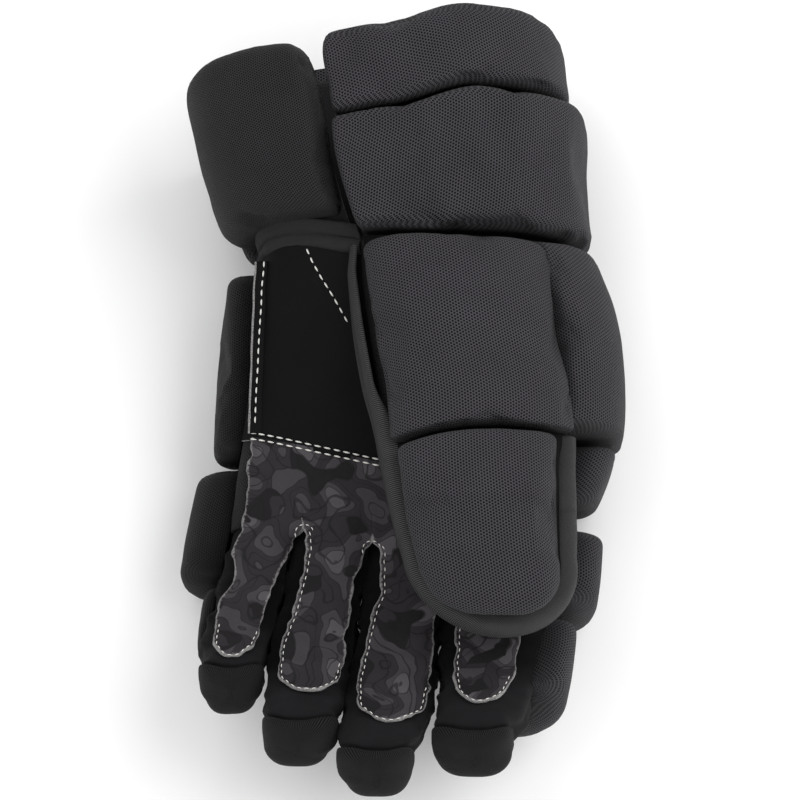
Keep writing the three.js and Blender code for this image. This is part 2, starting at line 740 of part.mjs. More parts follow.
const besidePanel = patch(thumb, {
  ...SHEET,
  ...PANEL,
  low: (s) => panelSide(THREE.MathUtils.lerp(-0.1, PANEL_END + 0.03, s)) - 3,
  high: PANEL.high + 3,
  from: -0.1,
  to: PANEL.to + 0.03,
  lift: -1,
  thickness: PANEL_WALL + THUMB_PAD,
  rows: 16,
  columns: 10,
});
add("thumb_binding", bead.subtract(besideStall).subtract(besidePanel).subtract(belowSheet), TAPE);
add(
  "thumb_palm",
  patch(thumb, {
    ...SHEET,
    low: 222,
    high: 305,
    from: 0.35,
    to: 1.42,
    lift: PAD_GAP,
    thickness: LEATHER,
    round: [0, 0.5],
    rows: 8,
    columns: 7,
  })
    .subtract(besideStall)
    .subtract(belowSheet),
  SUEDE,
);

// Cuff: a lining, a main roll and an end roll round it, and a flap over the gap they leave
const slit = { low: CUFF_SLIT_AT - CUFF_SLIT / 2, high: CUFF_SLIT_AT + CUFF_SLIT / 2 };
const BACK_SLIT = 199;
const TOP_ROLL_START = -135;
const LINING_STEP = (FLAP_TOP - 25) / CUFF_LENGTH; // height of the lining where no roll carries it
// Lower and upper edge of the end roll: both slope down towards the slit
const slope = (angle) => (TOP_ROLL_DROP * THREE.MathUtils.smoothstep(angle, 66, 104)) / CUFF_LENGTH;
const rollStart = (angle) => 1 - CUFF_TOP_ROLL / CUFF_LENGTH - slope(angle);
const rollEnd = (angle) => {
  const back = THREE.MathUtils.smoothstep(-angle, 95, -TOP_ROLL_START);
  const side = THREE.MathUtils.smoothstep(-angle, -45, 10);
  return 1 - slope(angle) - (TOP_ROLL_BACK_DROP * back + 3 * side) / CUFF_LENGTH;
};
add(
  "cuff_lining",
  patch(cuff, {
    ...SHEET,
    low: slit.high - 360 + 1,
    high: slit.low,
    from: SEAM_GAP / CUFF_LENGTH,
    to: (r) => {
      const angle = across({ low: slit.high - 360, high: slit.low }, r);
      return angle < TOP_ROLL_START ? LINING_STEP : Math.min(rollEnd(angle) - 0.07, 0.9);
    },
    lift: -CUFF_LINING,
    thickness: CUFF_LINING,
    rows: 5,
    columns: 28,
  }),
  LINING,
);
const ROLL_SIDES = { low: BACK_SLIT + 1 - 360, high: slit.low, lift: PAD_GAP, columns: 24, crowd: 0.4 };
const TOP_SIDES = { low: TOP_ROLL_START, high: slit.low };
add(
  "cuff_main_roll",
  patch(cuff, {
    ...ROLL_SIDES,
    from: 0.005,
    to: (r) => rollStart(across(ROLL_SIDES, r)) - 0.006,
    thickness: CUFF_PAD,
    round: [0.02, 0.02],
    rows: 6,
  }),
  NYLON,
);
add(
  "cuff_top_roll",
  patch(cuff, {
    ...ROLL_SIDES,
    ...TOP_SIDES,
    from: (r) => rollStart(across(TOP_SIDES, r)) + 0.006,
    to: (r) => rollEnd(across(TOP_SIDES, r)),
    thickness: CUFF_TOP_PAD,
    lift: 2 * PAD_GAP,
    round: [0.02, 0.04],
    rows: 5,
  }),
  NYLON,
);
add(
  "cuff_flap",
  patch(cuff, {
    low: slit.high,
    high: BACK_SLIT,
    from: (r) => (FLAP_BOTTOM - FLAP_BOTTOM_DROP * r * r) / CUFF_LENGTH,
    to: (r) => (FLAP_TOP - FLAP_SLOPE * r) / CUFF_LENGTH,
    lift: PAD_GAP,
    thickness: FLAP_PAD,
    round: [0.15, 0.35],
    rows: 6,
    columns: 10,
  }).subtract(besideThumb),
  NYLON,
);

add(
  "flap_lining",
  patch(cuff, {
    ...SHEET,
    low: slit.high + 1,
    high: BACK_SLIT - 2,
    from: LINING_STEP + 0.01,
    to: (r) => (FLAP_TOP - 5 - FLAP_SLOPE * r) / CUFF_LENGTH,
    lift: -CUFF_LINING,
    thickness: CUFF_LINING,
    round: [0, 0.5],
    rows: 3,
    columns: 10,
  }),
  LINING,
);

// The origin is the middle of the glove's box on the surface that it lies on.
const box = new THREE.Box3().setFromObject(group);
group.position.set(-(box.min.x + box.max.x) / 2, -(box.min.y + box.max.y) / 2, -box.min.z);

export default group;
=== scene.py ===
# The looks of a left-hand ice hockey glove that lies on its back, palm side up.
# Shapes are worked out in millimetres in the construction frame: wrist seam at y = 0, fingers along -Y,
# cuff along +Y, thumb on the +X side, surface at z = 0. SHIFT moves them into the part's frame.
import math

import bpy
import numpy as np
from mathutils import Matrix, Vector


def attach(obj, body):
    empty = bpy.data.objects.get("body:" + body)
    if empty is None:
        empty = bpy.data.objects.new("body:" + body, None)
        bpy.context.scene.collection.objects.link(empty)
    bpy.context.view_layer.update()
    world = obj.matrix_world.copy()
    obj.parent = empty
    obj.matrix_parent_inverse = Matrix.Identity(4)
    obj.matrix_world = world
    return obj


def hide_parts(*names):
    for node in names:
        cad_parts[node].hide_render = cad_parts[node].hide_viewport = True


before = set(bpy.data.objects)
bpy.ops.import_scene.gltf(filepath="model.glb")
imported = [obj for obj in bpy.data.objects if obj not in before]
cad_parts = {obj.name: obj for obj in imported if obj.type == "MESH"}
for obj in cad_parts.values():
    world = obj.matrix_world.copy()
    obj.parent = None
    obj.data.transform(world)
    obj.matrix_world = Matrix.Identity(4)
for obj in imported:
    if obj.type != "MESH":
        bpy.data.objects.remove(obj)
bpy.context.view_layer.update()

MM = 0.001
SHIFT = np.array([-1.5216, 73.6421, 0.0])
SEAM_GAP = 0.3
PAD_GAP = 0.8
LEATHER = 1.6
LINER_WALL = 2.6
CUFF_LINING = 2.2
PANEL_WALL = 2.0
BACK_PAD = 15.5
INDEX_KNUCKLE_PAD = 27.5
HAND_SIDE_PAD = 13.0
THUMB_SIDE_PAD = 23.0
CUFF_PAD = 14.8
CUFF_TOP_PAD = 10.0
FLAP_PAD = 15.0
THUMB_PAD = 13.0
HAND_LENGTH = 126.0
HAND_DEPTH = 44.0
PALM_SEAM = 98.5
PALM_SEAM_SLANT = 26.7
WRIST_ARCH = 5.0
WRIST_HEM = 10.5
HEM_START = 7.0
CUFF_LENGTH = 103.0
CUFF_WIDTH = 148.0
CUFF_DEPTH = 88.0
CUFF_TOP_ROLL = 39.0
TOP_ROLL_DROP = 14.5
TOP_ROLL_BACK_DROP = 9.0
TOP_ROLL_BACK = -135.0
FLAP_TOP = 87.0
FLAP_SLOPE = 15.0
FLAP_BOTTOM = 7.5
FLAP_BOTTOM_DROP = 5.0
SLIT = (102.5, 105.5)
BACK_SLIT = 199.0
THUMB_LENGTH = 145.0
THUMB_WIDTH = 99.0
THUMB_DEPTH = 38.0
THUMB_TIP = 30.0
THUMB_HOLE = 46.0
THUMB_PADDING = 4.0
THUMB_STANDOFF = 20.0
THUMB_ROLL = math.radians(8)
THUMB_LEAN = 0.17
THUMB_SEAM = 0.618
THUMB_SEAM_DROP = 0.045
THUMB_ROOT = 2.3
PANEL_END = 1.6
BINDING_WIDTH = 9.0
BINDING_DEPTH = 25.0
FINGER_DEPTH = 33.0
FINGER_TIP = 13.0
FINGER_CURL = math.radians(36)
FINGER_SLANT = 0.12
WEB_GAP = 1.2
TIP_CAP = 2.0
REST_FLATTENING = 0.9
BACK_HEIGHT = BACK_PAD + SEAM_GAP - REST_FLATTENING
BACK_SIDES = (240, 303)
FINGERS = [
    dict(name="index", reach=117, width=40, taper=0.84, spread=5, strip=0.95),
    dict(name="middle", reach=127, width=34, taper=0.86, spread=0, strip=0.94),
    dict(name="ring", reach=112, width=33, taper=0.9, spread=0, strip=0.93),
    dict(name="pinky", reach=86, width=29, taper=0.82, spread=-3.4, strip=1.06),
]
FINGER_PADS = [
    dict(start=-0.03, joint=0.36, end=0.775, side=(28, 20)),
    dict(start=0.03, joint=0.42, end=0.85, side=(0, 0)),
    dict(start=0.03, joint=0.42, end=0.83, side=(0, 0)),
    dict(start=-0.43, joint=0.31, end=0.77, side=(20, 6)),
]
INDEX, MIDDLE, RING, PINKY = range(4)
KNUCKLE_WIDTH = sum(f["width"] for f in FINGERS) + 3 * WEB_GAP

HAND = dict(
    along=[0, 0.26, 0.55, 0.8, 1],
    shift=[0.04, 0.045, 0.02, -0.02, -0.045],
    width=[0.94, 1, 1.01, 1.01, 1],
    depth=[1.62, 1.5, 1.24, 1.08, 1],
)
CUFF = dict(
    along=[0, 0.3, 0.6, 0.8, 1],
    shift=[0.033, -0.02, -0.045, -0.07, -0.07],
    width=[0.89, 0.94, 0.99, 0.97, 0.95],
    depth=[0.81, 0.93, 0.99, 1, 0.99],
)
THUMB = dict(
    along=[0, 0.3, 0.5, 0.75, 1],
    shift=[0.15, 0.188, 0.227, 0.25, 0.281],
    width=[0.825, 0.81, 0.815, 0.768, 0.679],
    depth=[1, 0.98, 0.94, 0.88, 0.78],
    clear=[-1.5, -0.85, -0.2, 0.55, 1],
)


def column(table, key, t):
    x = np.array(table["along"], float)
    y = np.array(table[key], float)
    n = len(x) - 1
    low = np.maximum(np.arange(n + 1) - 1, 0)
    high = np.minimum(np.arange(n + 1) + 1, n)
    slope = (y[high] - y[low]) / (x[high] - x[low])
    t = np.clip(t, 0, 1)
    i = np.clip(np.searchsorted(x, t, side="left") - 1, 0, n - 1)
    span = x[i + 1] - x[i]
    q = (t - x[i]) / span
    rise = y[i + 1] - y[i]
    m0 = slope[i] * span
    m1 = slope[i + 1] * span
    return y[i] + q * (m0 + q * (3 * rise - 2 * m0 - m1 + q * (m0 + m1 - 2 * rise)))


def vec(x, y, z):
    return np.stack(np.broadcast_arrays(x, y, z), -1).astype(float)


def lerp(a, b, t):
    return a + (b - a) * t


def smoothstep(x, low, high):
    t = np.clip((x - low) / (high - low), 0, 1)
    return t * t * (3 - 2 * t)


class Sleeve:
    """A tube given by its sections: centre, directions, half sizes and roundness power."""

    def __init__(self, section, tip=0.0, blunt=1.0, length=1.0):
        self.section = section
        self.tip = tip
        self.blunt = blunt
        self.length = length


def hand_section(t):
    depth = column(HAND, "depth", t) * HAND_DEPTH
    shift = column(HAND, "shift", t) * KNUCKLE_WIDTH
    centre = vec(shift, -t * HAND_LENGTH, BACK_HEIGHT + depth / 2)
    width = column(HAND, "width", t) * KNUCKLE_WIDTH / 2
    return centre, vec(1, 0, 0), vec(0, 0, 1), vec(0, -1, 0), width, depth / 2, 3 + t


def cuff_section(t):
    depth = column(CUFF, "depth", t) * CUFF_DEPTH
    centre = vec(column(CUFF, "shift", t) * CUFF_WIDTH, t * CUFF_LENGTH, BACK_HEIGHT + depth / 2)
    width = column(CUFF, "width", t) * CUFF_WIDTH / 2
    return centre, vec(1, 0, 0), vec(0, 0, 1), vec(0, 1, 0), width, depth / 2, 2.7 + 0 * t


ROOT = hand_section(np.float64(1))


def finger_place(index):
    finger = FINGERS[index]
    left = ROOT[0][0] - KNUCKLE_WIDTH / 2
    before = sum(f["width"] + WEB_GAP for f in FINGERS[index + 1 :])
    root_x = left + before + finger["width"] / 2
    step = int(np.sign(index - MIDDLE))
    if step == 0:
        return root_x, root_x - FINGER_SLANT * finger["reach"]
    other = FINGERS[index - step]
    widths = (finger["width"] * finger["taper"] + other["width"] * other["taper"]) / 2
    between = widths + 2 * TIP_CAP + 3 * SEAM_GAP + WEB_GAP + finger["spread"]
    return root_x, finger_place(index - step)[1] - step * between


def finger_sleeve(index):
    finger = FINGERS[index]
    root_x, tip_x = finger_place(index)
    length = finger["reach"] - FINGER_TIP
    share = min(abs(root_x - ROOT[0][0]) / ROOT[4], 0.98)
    root_depth = ROOT[5] * (1 - share ** ROOT[6]) ** (1 / ROOT[6])

    def section(t):
        bend = np.maximum(t, 0) * FINGER_CURL
        forward = np.where(t > 0, np.sin(bend) / FINGER_CURL * length, t * length)
        rise = (1 - np.cos(bend)) / FINGER_CURL * length
        centre = vec(lerp(root_x, tip_x, t), -HAND_LENGTH - SEAM_GAP - forward, ROOT[0][2] + rise)
        up = vec(0, np.sin(bend), np.cos(bend))
        along = vec(0, -np.cos(bend), np.sin(bend))
        width = finger["width"] / 2 * lerp(1, finger["taper"], smoothstep(t, 0.4, 1))
        depth = lerp(root_depth, FINGER_DEPTH / 2, smoothstep(t, 0, 0.6))
        return centre, vec(1, 0, 0), up, along, width, depth, 3.2 + 0 * t

    return Sleeve(section, FINGER_TIP - 2.2, 0.75, length)


hand = Sleeve(hand_section, length=HAND_LENGTH)
cuff = Sleeve(cuff_section, length=CUFF_LENGTH)
fingers = [finger_sleeve(i) for i in range(4)]


def palm_height(y):
    s = hand_section(np.clip(-y / HAND_LENGTH, 0, 1))
    f = fingers[INDEX].section(np.clip((-y - HAND_LENGTH) / fingers[INDEX].length, 0, 1))
    return np.where(y > -HAND_LENGTH, s[0][..., 2] + s[5], f[0][..., 2] + f[5])


def thumb_section(t):
    y = -THUMB_ROOT - t * THUMB_LENGTH
    depth = column(THUMB, "depth", t) * THUMB_DEPTH / 2
    clear = column(THUMB, "clear", t) * THUMB_STANDOFF
    centre = vec(column(THUMB, "shift", t) * KNUCKLE_WIDTH, y, palm_height(y) + clear + depth)
    roll = THUMB_ROLL * (1 - 0.7 * smoothstep(t, 0.4, 1))
    across = vec(np.cos(roll), 0, -np.sin(roll))
    up = vec(np.sin(roll), 0, np.cos(roll))
    width = column(THUMB, "width", t) * THUMB_WIDTH / 2
    return centre, across, up, vec(THUMB_LEAN, -math.cos(math.asin(THUMB_LEAN)), 0), width, depth, 2.5 + 0 * t


def cavity_section(t):
    s = thumb_section(t)
    return s[:4] + (THUMB_HOLE / 2 + 0 * t, s[5] - THUMB_PADDING, 2.2 + 0 * t)


thumb = Sleeve(thumb_section, THUMB_TIP, 0.45, THUMB_LENGTH)
cavity = Sleeve(cavity_section, THUMB_TIP - 2 * THUMB_PADDING, 0.6, THUMB_LENGTH)


def on(sleeve, u, angle, lift, left=None, right=None):
    """Points of a sleeve. u runs from 0 to 1 along it and from 1 to 2 round its tip."""
    left = lift if left is None else left
    right = lift if right is None else right
    u, angle, lift, left, right = np.broadcast_arrays(u, angle, lift, left, right)
    u = u.astype(float)
    centre, across, up, along, width, depth, power = sleeve.section(np.minimum(u, 1) if sleeve.tip else u)
    bend = np.maximum(u - 1, 0) * np.pi / 2 if sleeve.tip else 0 * u
    shrink = np.maximum(np.cos(bend), 0.02)
    c = np.cos(np.radians(angle))
    n = np.sin(np.radians(angle))
    side = np.where(c > 0, right, left)
    a = np.sign(c) * np.abs(c) ** (2 / power) * (width + side) * shrink
    h = np.sign(n) * np.abs(n) ** (2 / power) * (depth + lift)
    h = h * (shrink**sleeve.blunt if sleeve.tip else 1)
    far = (sleeve.tip + lift) * np.sin(bend)
    return centre + across * a[..., None] + up * h[..., None] + along * far[..., None]


LATTICE = np.random.default_rng(11).random((32, 32, 32))


def noise(points, size, seed=0):
    """Smooth noise from -1 to 1 with bumps of the given size."""
    q = points / size + seed * 5.37
    i = np.floor(q).astype(int)
    f = q - i
    f = f * f * (3 - 2 * f)
    total = 0
    for dx in (0, 1):
        for dy in (0, 1):
            for dz in (0, 1):
                w = np.abs(1 - dx - f[..., 0]) * np.abs(1 - dy - f[..., 1]) * np.abs(1 - dz - f[..., 2])
                cell = (i + np.array([dx, dy, dz])) % 32
                total = total + w * LATTICE[cell[..., 0], cell[..., 1], cell[..., 2]]
    return total * 2 - 1


def steps_of(points, axis):
    d = np.linalg.norm(np.diff(points, axis=axis), axis=-1)
    zero = np.zeros_like(np.take(d, [0], axis=axis))
    return np.concatenate([zero, np.cumsum(d, axis=axis)], axis=axis)


def normals(points, wrap=False):
    if wrap:
        across = np.roll(points, -1, 1) - np.roll(points, 1, 1)
    else:
        across = np.gradient(points, axis=1)
    along = np.gradient(points, axis=0)
    n = np.cross(across, along)
    n = n / np.maximum(np.linalg.norm(n, axis=-1, keepdims=True), 1e-9)
    return n


def outward(points, n, sleeve, u):
    """Turns normals so that they point away from the sleeve's middle."""
    centre = sleeve.section(np.minimum(u, 1) if sleeve.tip else u)[0]
    flip = np.sign(np.sum(n * (points - centre), axis=-1, keepdims=True).sum())
    return n * flip


pieces = []
materials = {}


def make(name, points, faces, uv=None, edge=None, material=None, slots=None, smooth=True):
    """A mesh object from points in millimetres of the construction frame."""
    mesh = bpy.data.meshes.new(name)
    verts = (np.asarray(points).reshape(-1, 3) + SHIFT) * MM
    mesh.from_pydata(verts.tolist(), [], faces.tolist() if hasattr(faces, "tolist") else faces)
    mesh.validate()
    if uv is not None:
        layer = mesh.uv_layers.new(name="cloth")
        index = np.empty(len(mesh.loops), int)
        mesh.loops.foreach_get("vertex_index", index)
        layer.data.foreach_set("uv", uv.reshape(-1, 2)[index].astype(np.float32).ravel())
    if edge is not None:
        attribute = mesh.attributes.new("edge", "FLOAT", "POINT")
        attribute.data.foreach_set("value", np.asarray(edge, np.float32).ravel())
    if smooth:
        mesh.polygons.foreach_set("use_smooth", np.ones(len(mesh.polygons), bool))
    obj = bpy.data.objects.new(name, mesh)
    bpy.context.scene.collection.objects.link(obj)
    for m in [material] + list(slots or []):
        mesh.materials.append(materials[m])
    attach(obj, "root")
    pieces.append(obj)
    return obj


def grid_faces(rows, columns, wrap=False, start=0):
    i, j = np.meshgrid(np.arange(rows - 1), np.arange(columns if wrap else columns - 1), indexing="ij")
    k = (j + 1) % columns
    faces = np.stack([i * columns + j, i * columns + k, (i + 1) * columns + k, (i + 1) * columns + j], -1)
    return faces.reshape(-1, 4) + start


def places(count, crowd):
    x = np.linspace(0, 1, count + 1)
    return x + crowd * (0.5 - 0.5 * np.cos(x * np.pi) - x)


AXIS_TABLE = np.unique(
    np.concatenate(
        [k * 90 + s * 45 * np.linspace(0, 1, 50) ** 3 for k in range(-5, 6) for s in (-1, 1)]
    )
)


def spread_angles(sleeve, u, low, high, r):
    """Angles at shares r of the way round each section from low to high, evenly spaced on its outline."""
    rows = []
    for ui, lo, hi in zip(u, low, high):
        table = AXIS_TABLE[(AXIS_TABLE > lo) & (AXIS_TABLE < hi)]
        table = np.concatenate([[lo], table, [hi]])
        way = steps_of(on(sleeve, np.float64(ui), table, 0.0), 0)
        rows.append(np.interp(r * way[-1], way, table))
    return np.array(rows)


def as_function(value):
    return value if callable(value) else (lambda r: value + 0 * r)


def patch_grid(sleeve, low, high, start, end, rows, columns, crowd=0.8, round_=(0.25, 0.25), nudge=None):
    """Places of a patch: shares s and r, and the sleeve's u and angle."""
    s = places(rows, crowd)[:, None]
    r = places(columns, crowd)[None, :]
    k = lerp(round_[0], round_[1], s)
    x = 2 * s - 1
    y = 2 * r - 1
    along = (1 + x * np.sqrt(1 - k * y * y / 2)) / 2
    beside = (1 + y * np.sqrt(1 - k * x * x / 2)) / 2
    if nudge is not None:
        along = along + nudge[0]
        beside = beside + nudge[1]
    low_at = as_function(low)(s[:, 0])
    high_at = as_function(high)(s[:, 0])
    nominal = lerp(as_function(start)(np.float64(0.5)), as_function(end)(np.float64(0.5)), s[:, 0])
    angle = np.empty((rows + 1, columns + 1))
    angle_rows = []
    for row in range(rows + 1):
        u = nominal[row]
        angle_rows.append(spread_angles(sleeve, [u], [low_at[row]], [high_at[row]], beside[row])[0])
    angle = np.array(angle_rows)
    share = (angle - low_at[:, None]) / (high_at - low_at)[:, None]
    u = lerp(as_function(start)(share), as_function(end)(share), along)
    return s, r, share, u, angle


def closed_patch(top, bottom):
    """Points and faces of a closed form whose top and bottom grids share their border."""
    rows, columns = top.shape[:2]
    index = np.arange(rows * columns).reshape(rows, columns)
    under = index.copy()
    inner = np.arange((rows - 2) * (columns - 2)).reshape(rows - 2, columns - 2) + rows * columns
    under[1:-1, 1:-1] = inner
    faces = grid_faces(rows, columns)
    lower = under.ravel()[faces][:, ::-1]
    points = np.concatenate([top.reshape(-1, 3), bottom[1:-1, 1:-1].reshape(-1, 3)])
    return points, np.concatenate([faces, lower])


def cloth_uv(points):
    across = steps_of(points, 1)
    along = steps_of(points, 0)
    middle = points.shape[1] // 2
    across = across - across[:, middle : middle + 1]
    along = along - along[points.shape[0] // 2 : points.shape[0] // 2 + 1, :]
    return np.stack([across, along], -1)


SETTLE_CELL = 4.5
SETTLE_LIMIT = 2.4


def settle(top, bottom):
    """Inflates a coarse copy of a pad as cloth sewn down at its border, and returns how its top moves."""
    spans = (steps_of(top, 0)[-1].mean(), steps_of(top, 1)[:, -1].mean())
    size = [max(6, int(span / SETTLE_CELL)) for span in spans]
    i, j = (
        np.unique(np.linspace(0, count - 1, n + 1).round().astype(int))
        for count, n in zip(top.shape, size)
    )
    pick = np.ix_(i, j)
    points, faces = closed_patch(top[pick], bottom[pick])
    mesh = bpy.data.meshes.new("settling")
    mesh.from_pydata((points * MM).tolist(), [], faces.tolist())
    obj = bpy.data.objects.new("settling", mesh)
    bpy.context.scene.collection.objects.link(obj)
    held = np.ones(len(points), bool)
    grid = np.arange(len(i) * len(j)).reshape(len(i), len(j))
    held[grid[1:-1, 1:-1].ravel()] = False
    obj.vertex_groups.new(name="sewn").add(np.flatnonzero(held).tolist(), 1.0, "REPLACE")
    cloth = obj.modifiers.new("cloth", "CLOTH")
    settings = cloth.settings
    settings.quality = 6
    settings.mass = 0.3
    settings.tension_stiffness = 12
    settings.compression_stiffness = 8
    settings.bending_stiffness = 2
    settings.use_pressure = True
    settings.uniform_pressure_force = 4
    settings.shrink_min = -0.025
    settings.vertex_group_mass = "sewn"
    settings.effector_weights.gravity = 0
    cloth.collision_settings.use_collision = False
    for frame_number in range(1, 21):
        bpy.context.scene.frame_set(frame_number)
    after = obj.evaluated_get(bpy.context.evaluated_depsgraph_get()).data
    moved = np.empty(len(points) * 3)
    after.vertices.foreach_get("co", moved)
    moved = moved.reshape(-1, 3)[grid.ravel()] / MM - points[grid.ravel()]
    bpy.data.objects.remove(obj)
    bpy.data.meshes.remove(mesh)
    bpy.context.scene.frame_set(1)
    distance = np.linalg.norm(moved, axis=1, keepdims=True)
    moved = moved * np.minimum(1, SETTLE_LIMIT / np.maximum(distance, 1e-6))
    moved = moved.reshape(len(i), len(j), 3)
    rows, columns = np.arange(top.shape[0]), np.arange(top.shape[1])
    wide = np.stack([[np.interp(columns, j, line[:, c]) for c in range(3)] for line in moved])
    fine = [[np.interp(rows, i, wide[:, c, k]) for c in range(3)] for k in columns]
    return np.stack(fine).transpose(2, 0, 1)


def pad(name, sleeve, low, high, start, end, lift, thickness, material="nylon", **o):
    """A foam pad sewn down along its border: full in the middle and rolled down to its seams."""
    rows = o.get("rows", 34)
    columns = o.get("columns", 34)
    floor = o.get("floor", 0.0)
    radius = o.get("radius", 11.0)
    power = o.get("power", 3.0)
    radii = [o.get(key, radius) for key in ("radius_start", "radius_end", "radius_low", "radius_high")]
    nudge = None
    for turn in range(2):
        grid = patch_grid(sleeve, low, high, start, end, rows, columns, o.get("crowd", 0.75),
                          o.get("round", (0.25, 0.25)), nudge)
        s, r, share, u, angle = grid
        base = on(sleeve, u, angle, lift)
        if turn == 0:
            way_s = steps_of(base, 0)
            way_r = steps_of(base, 1)
            far_s, far_r = way_s[-1:] - way_s, way_r[:, -1:] - way_r
            xs = np.clip(np.minimum(way_s / radii[0], far_s / radii[1]), 0, 1)
            xr = np.clip(np.minimum(way_r / radii[2], far_r / radii[3]), 0, 1)
            q = (1 - xs) ** power + (1 - xr) ** power
            pull = 1 - np.maximum(q, 1) ** (-1 / power)
            move_s = (1 - xs) * pull * np.where(way_s < far_s, radii[0], -radii[1])
            move_r = (1 - xr) * pull * np.where(way_r < far_r, radii[2], -radii[3])
            nudge = (move_s / way_s[-1:], move_r / way_r[:, -1:])
            ds = np.minimum(way_s, far_s)
            dr = np.minimum(way_r, far_r)
    rise = np.clip(1 - q, 0, 1) ** (1 / power)
    crown = o.get("crown", 0.06) * (1 - (2 * s - 1) ** 2) * (1 - (2 * r - 1) ** 2)
    height = as_function(thickness)(share) * (rise * (1 - o.get("crown", 0.06) * 0.4) + crown)
    height = height * lerp(*o.get("swell", (1, 1)), s)
    left, right = o.get("left", 1), o.get("right", 1)

    def at(h):
        return on(
            sleeve, u, angle, lift + h,
            0 if left == 0 else lift + left * h,
            0 if right == 0 else lift + right * h,
        )

    top = at(height)
    n = outward(top, normals(top), sleeve, u)
    border = np.minimum(ds, dr)
    if o.get("settled"):
        moved = settle(top, base)
        swelling = np.sum(moved * n, axis=-1).mean()
        top = top + moved - n * 0.9 * swelling * rise[..., None]
        n = outward(top, normals(top), sleeve, u)
    seed = o.get("seed", 1)
    lumps = 0.35 * noise(top, 26, seed) + 0.16 * noise(top, 9, seed + 3)
    pucker = 0.5 * noise(top, 4.5, seed + 5) * np.exp(-border / 3.5)
    relief = (lumps + pucker) * o.get("relief", 1.0) * smoothstep(border, 0, 2.5)
    dents = o.get("dents")
    if dents is not None:
        relief = relief + dents(s, r, top, border)
    top = top + n * relief[..., None]
    top[..., 2] = np.maximum(top[..., 2], floor)
    bottom = base.copy()
    points, faces = closed_patch(top, bottom)
    uv = np.zeros((len(points), 2))
    uv[: top.shape[0] * top.shape[1]] = cloth_uv(top).reshape(-1, 2)
    inner = cloth_uv(base)[1:-1, 1:-1].reshape(-1, 2)
    uv[top.shape[0] * top.shape[1] :] = inner
    edge = np.concatenate([border.ravel(), np.full(len(inner), 9.0)])
    obj = make(o.get("object", name + "_cloth"), points, faces, uv, edge, material)
    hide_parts(name)
    surface[name] = dict(top=top, n=n, s=s, r=r, uv=cloth_uv(top))
    return obj


surface = {}


def sheet(name, top, n, thickness, material, rim=None, edge=None, uv=None, replaces=(), extra=None):
    """A sheet with a thickness and its own rim, from a grid of points on its upper side."""
    rows, columns = top.shape[:2]
    under = top - n * thickness
    count = rows * columns
    faces = grid_faces(rows, columns)
    flip = np.sum(np.cross(top[0, 1] - top[0, 0], top[1, 0] - top[0, 0]) * n[0, 0]) < 0
    lower = faces[:, ::-1] + count
    index = np.arange(count).reshape(rows, columns)
    ring = np.concatenate([index[0, :-1], index[:-1, -1], index[-1, :0:-1], index[:0:-1, 0]])
    nxt = np.roll(ring, -1)
    side = np.stack([ring, ring + count, nxt + count, nxt], -1)
    faces = np.concatenate([faces, lower, side])
    if flip:
        faces = faces[:, ::-1]
    points = np.concatenate([top.reshape(-1, 3), under.reshape(-1, 3)])
    uv = cloth_uv(top) if uv is None else uv
    uv = np.concatenate([uv.reshape(-1, 2)] * 2)
    edge = np.full((rows, columns), 9.0) if edge is None else edge
    edge = np.concatenate([edge.ravel(), edge.ravel()])
    obj = make(name, points, faces, uv, edge, material, [rim] if rim else None)
    if rim:
        index = np.zeros(len(obj.data.polygons), np.int32)
        index[-len(side) :] = 1
        obj.data.polygons.foreach_set("material_index", index)
    for node in replaces:
        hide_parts(node)
    return obj


def tube(name, rings, material, close=(False, False), uv=None, edge=None, inner=None, replaces=()):
    """A tube through closed rings of points, with an inner wall where it is given."""
    rows, columns = rings.shape[:2]
    faces = [grid_faces(rows, columns, wrap=True).tolist()]
    points = [rings.reshape(-1, 3)]
    count = rows * columns
    if inner is not None:
        faces.append((grid_faces(rows, columns, wrap=True)[:, ::-1] + count).tolist())
        points.append(inner.reshape(-1, 3))
        for row, on_end in ((0, False), (rows - 1, True)):
            if close[1] and on_end:
                continue
            a = np.arange(columns) + row * columns
            b = np.roll(a, -1)
            quad = np.stack([a, a + count, b + count, b], -1)
            faces.append((quad[:, ::-1] if on_end else quad).tolist())
        count *= 2
    for row, wanted in ((0, close[0]), (rows - 1, close[1])):
        if not wanted:
            continue
        for part in range(2 if inner is not None else 1):
            source = points[part].reshape(rows, columns, 3)[row]
            points.append(source.mean(0)[None])
            a = np.arange(columns) + row * columns + part * rows * columns
            b = np.roll(a, -1)
            centre = np.full(columns, count)
            fan = np.stack([b, a, centre], -1) if row == 0 else np.stack([a, b, centre], -1)
            faces.append(fan.tolist())
            count += 1
    allpoints = np.concatenate(points)
    if uv is None:
        across = steps_of(np.concatenate([rings, rings[:, :1]], 1), 1)[:, :-1]
        uv = np.stack([across, steps_of(rings, 0)], -1)
    fulluv = np.zeros((len(allpoints), 2))
    fulluv[: rows * columns] = uv.reshape(-1, 2)
    if inner is not None:
        fulluv[rows * columns : 2 * rows * columns] = uv.reshape(-1, 2)
    full_edge = np.full(len(allpoints), 9.0)
    if edge is not None:
        full_edge[: rows * columns] = edge.ravel()
    flat = [face for group in faces for face in group]
    obj = make(name, allpoints, flat, fulluv, full_edge, material)
    for node in replaces:
        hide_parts(node)
    return obj


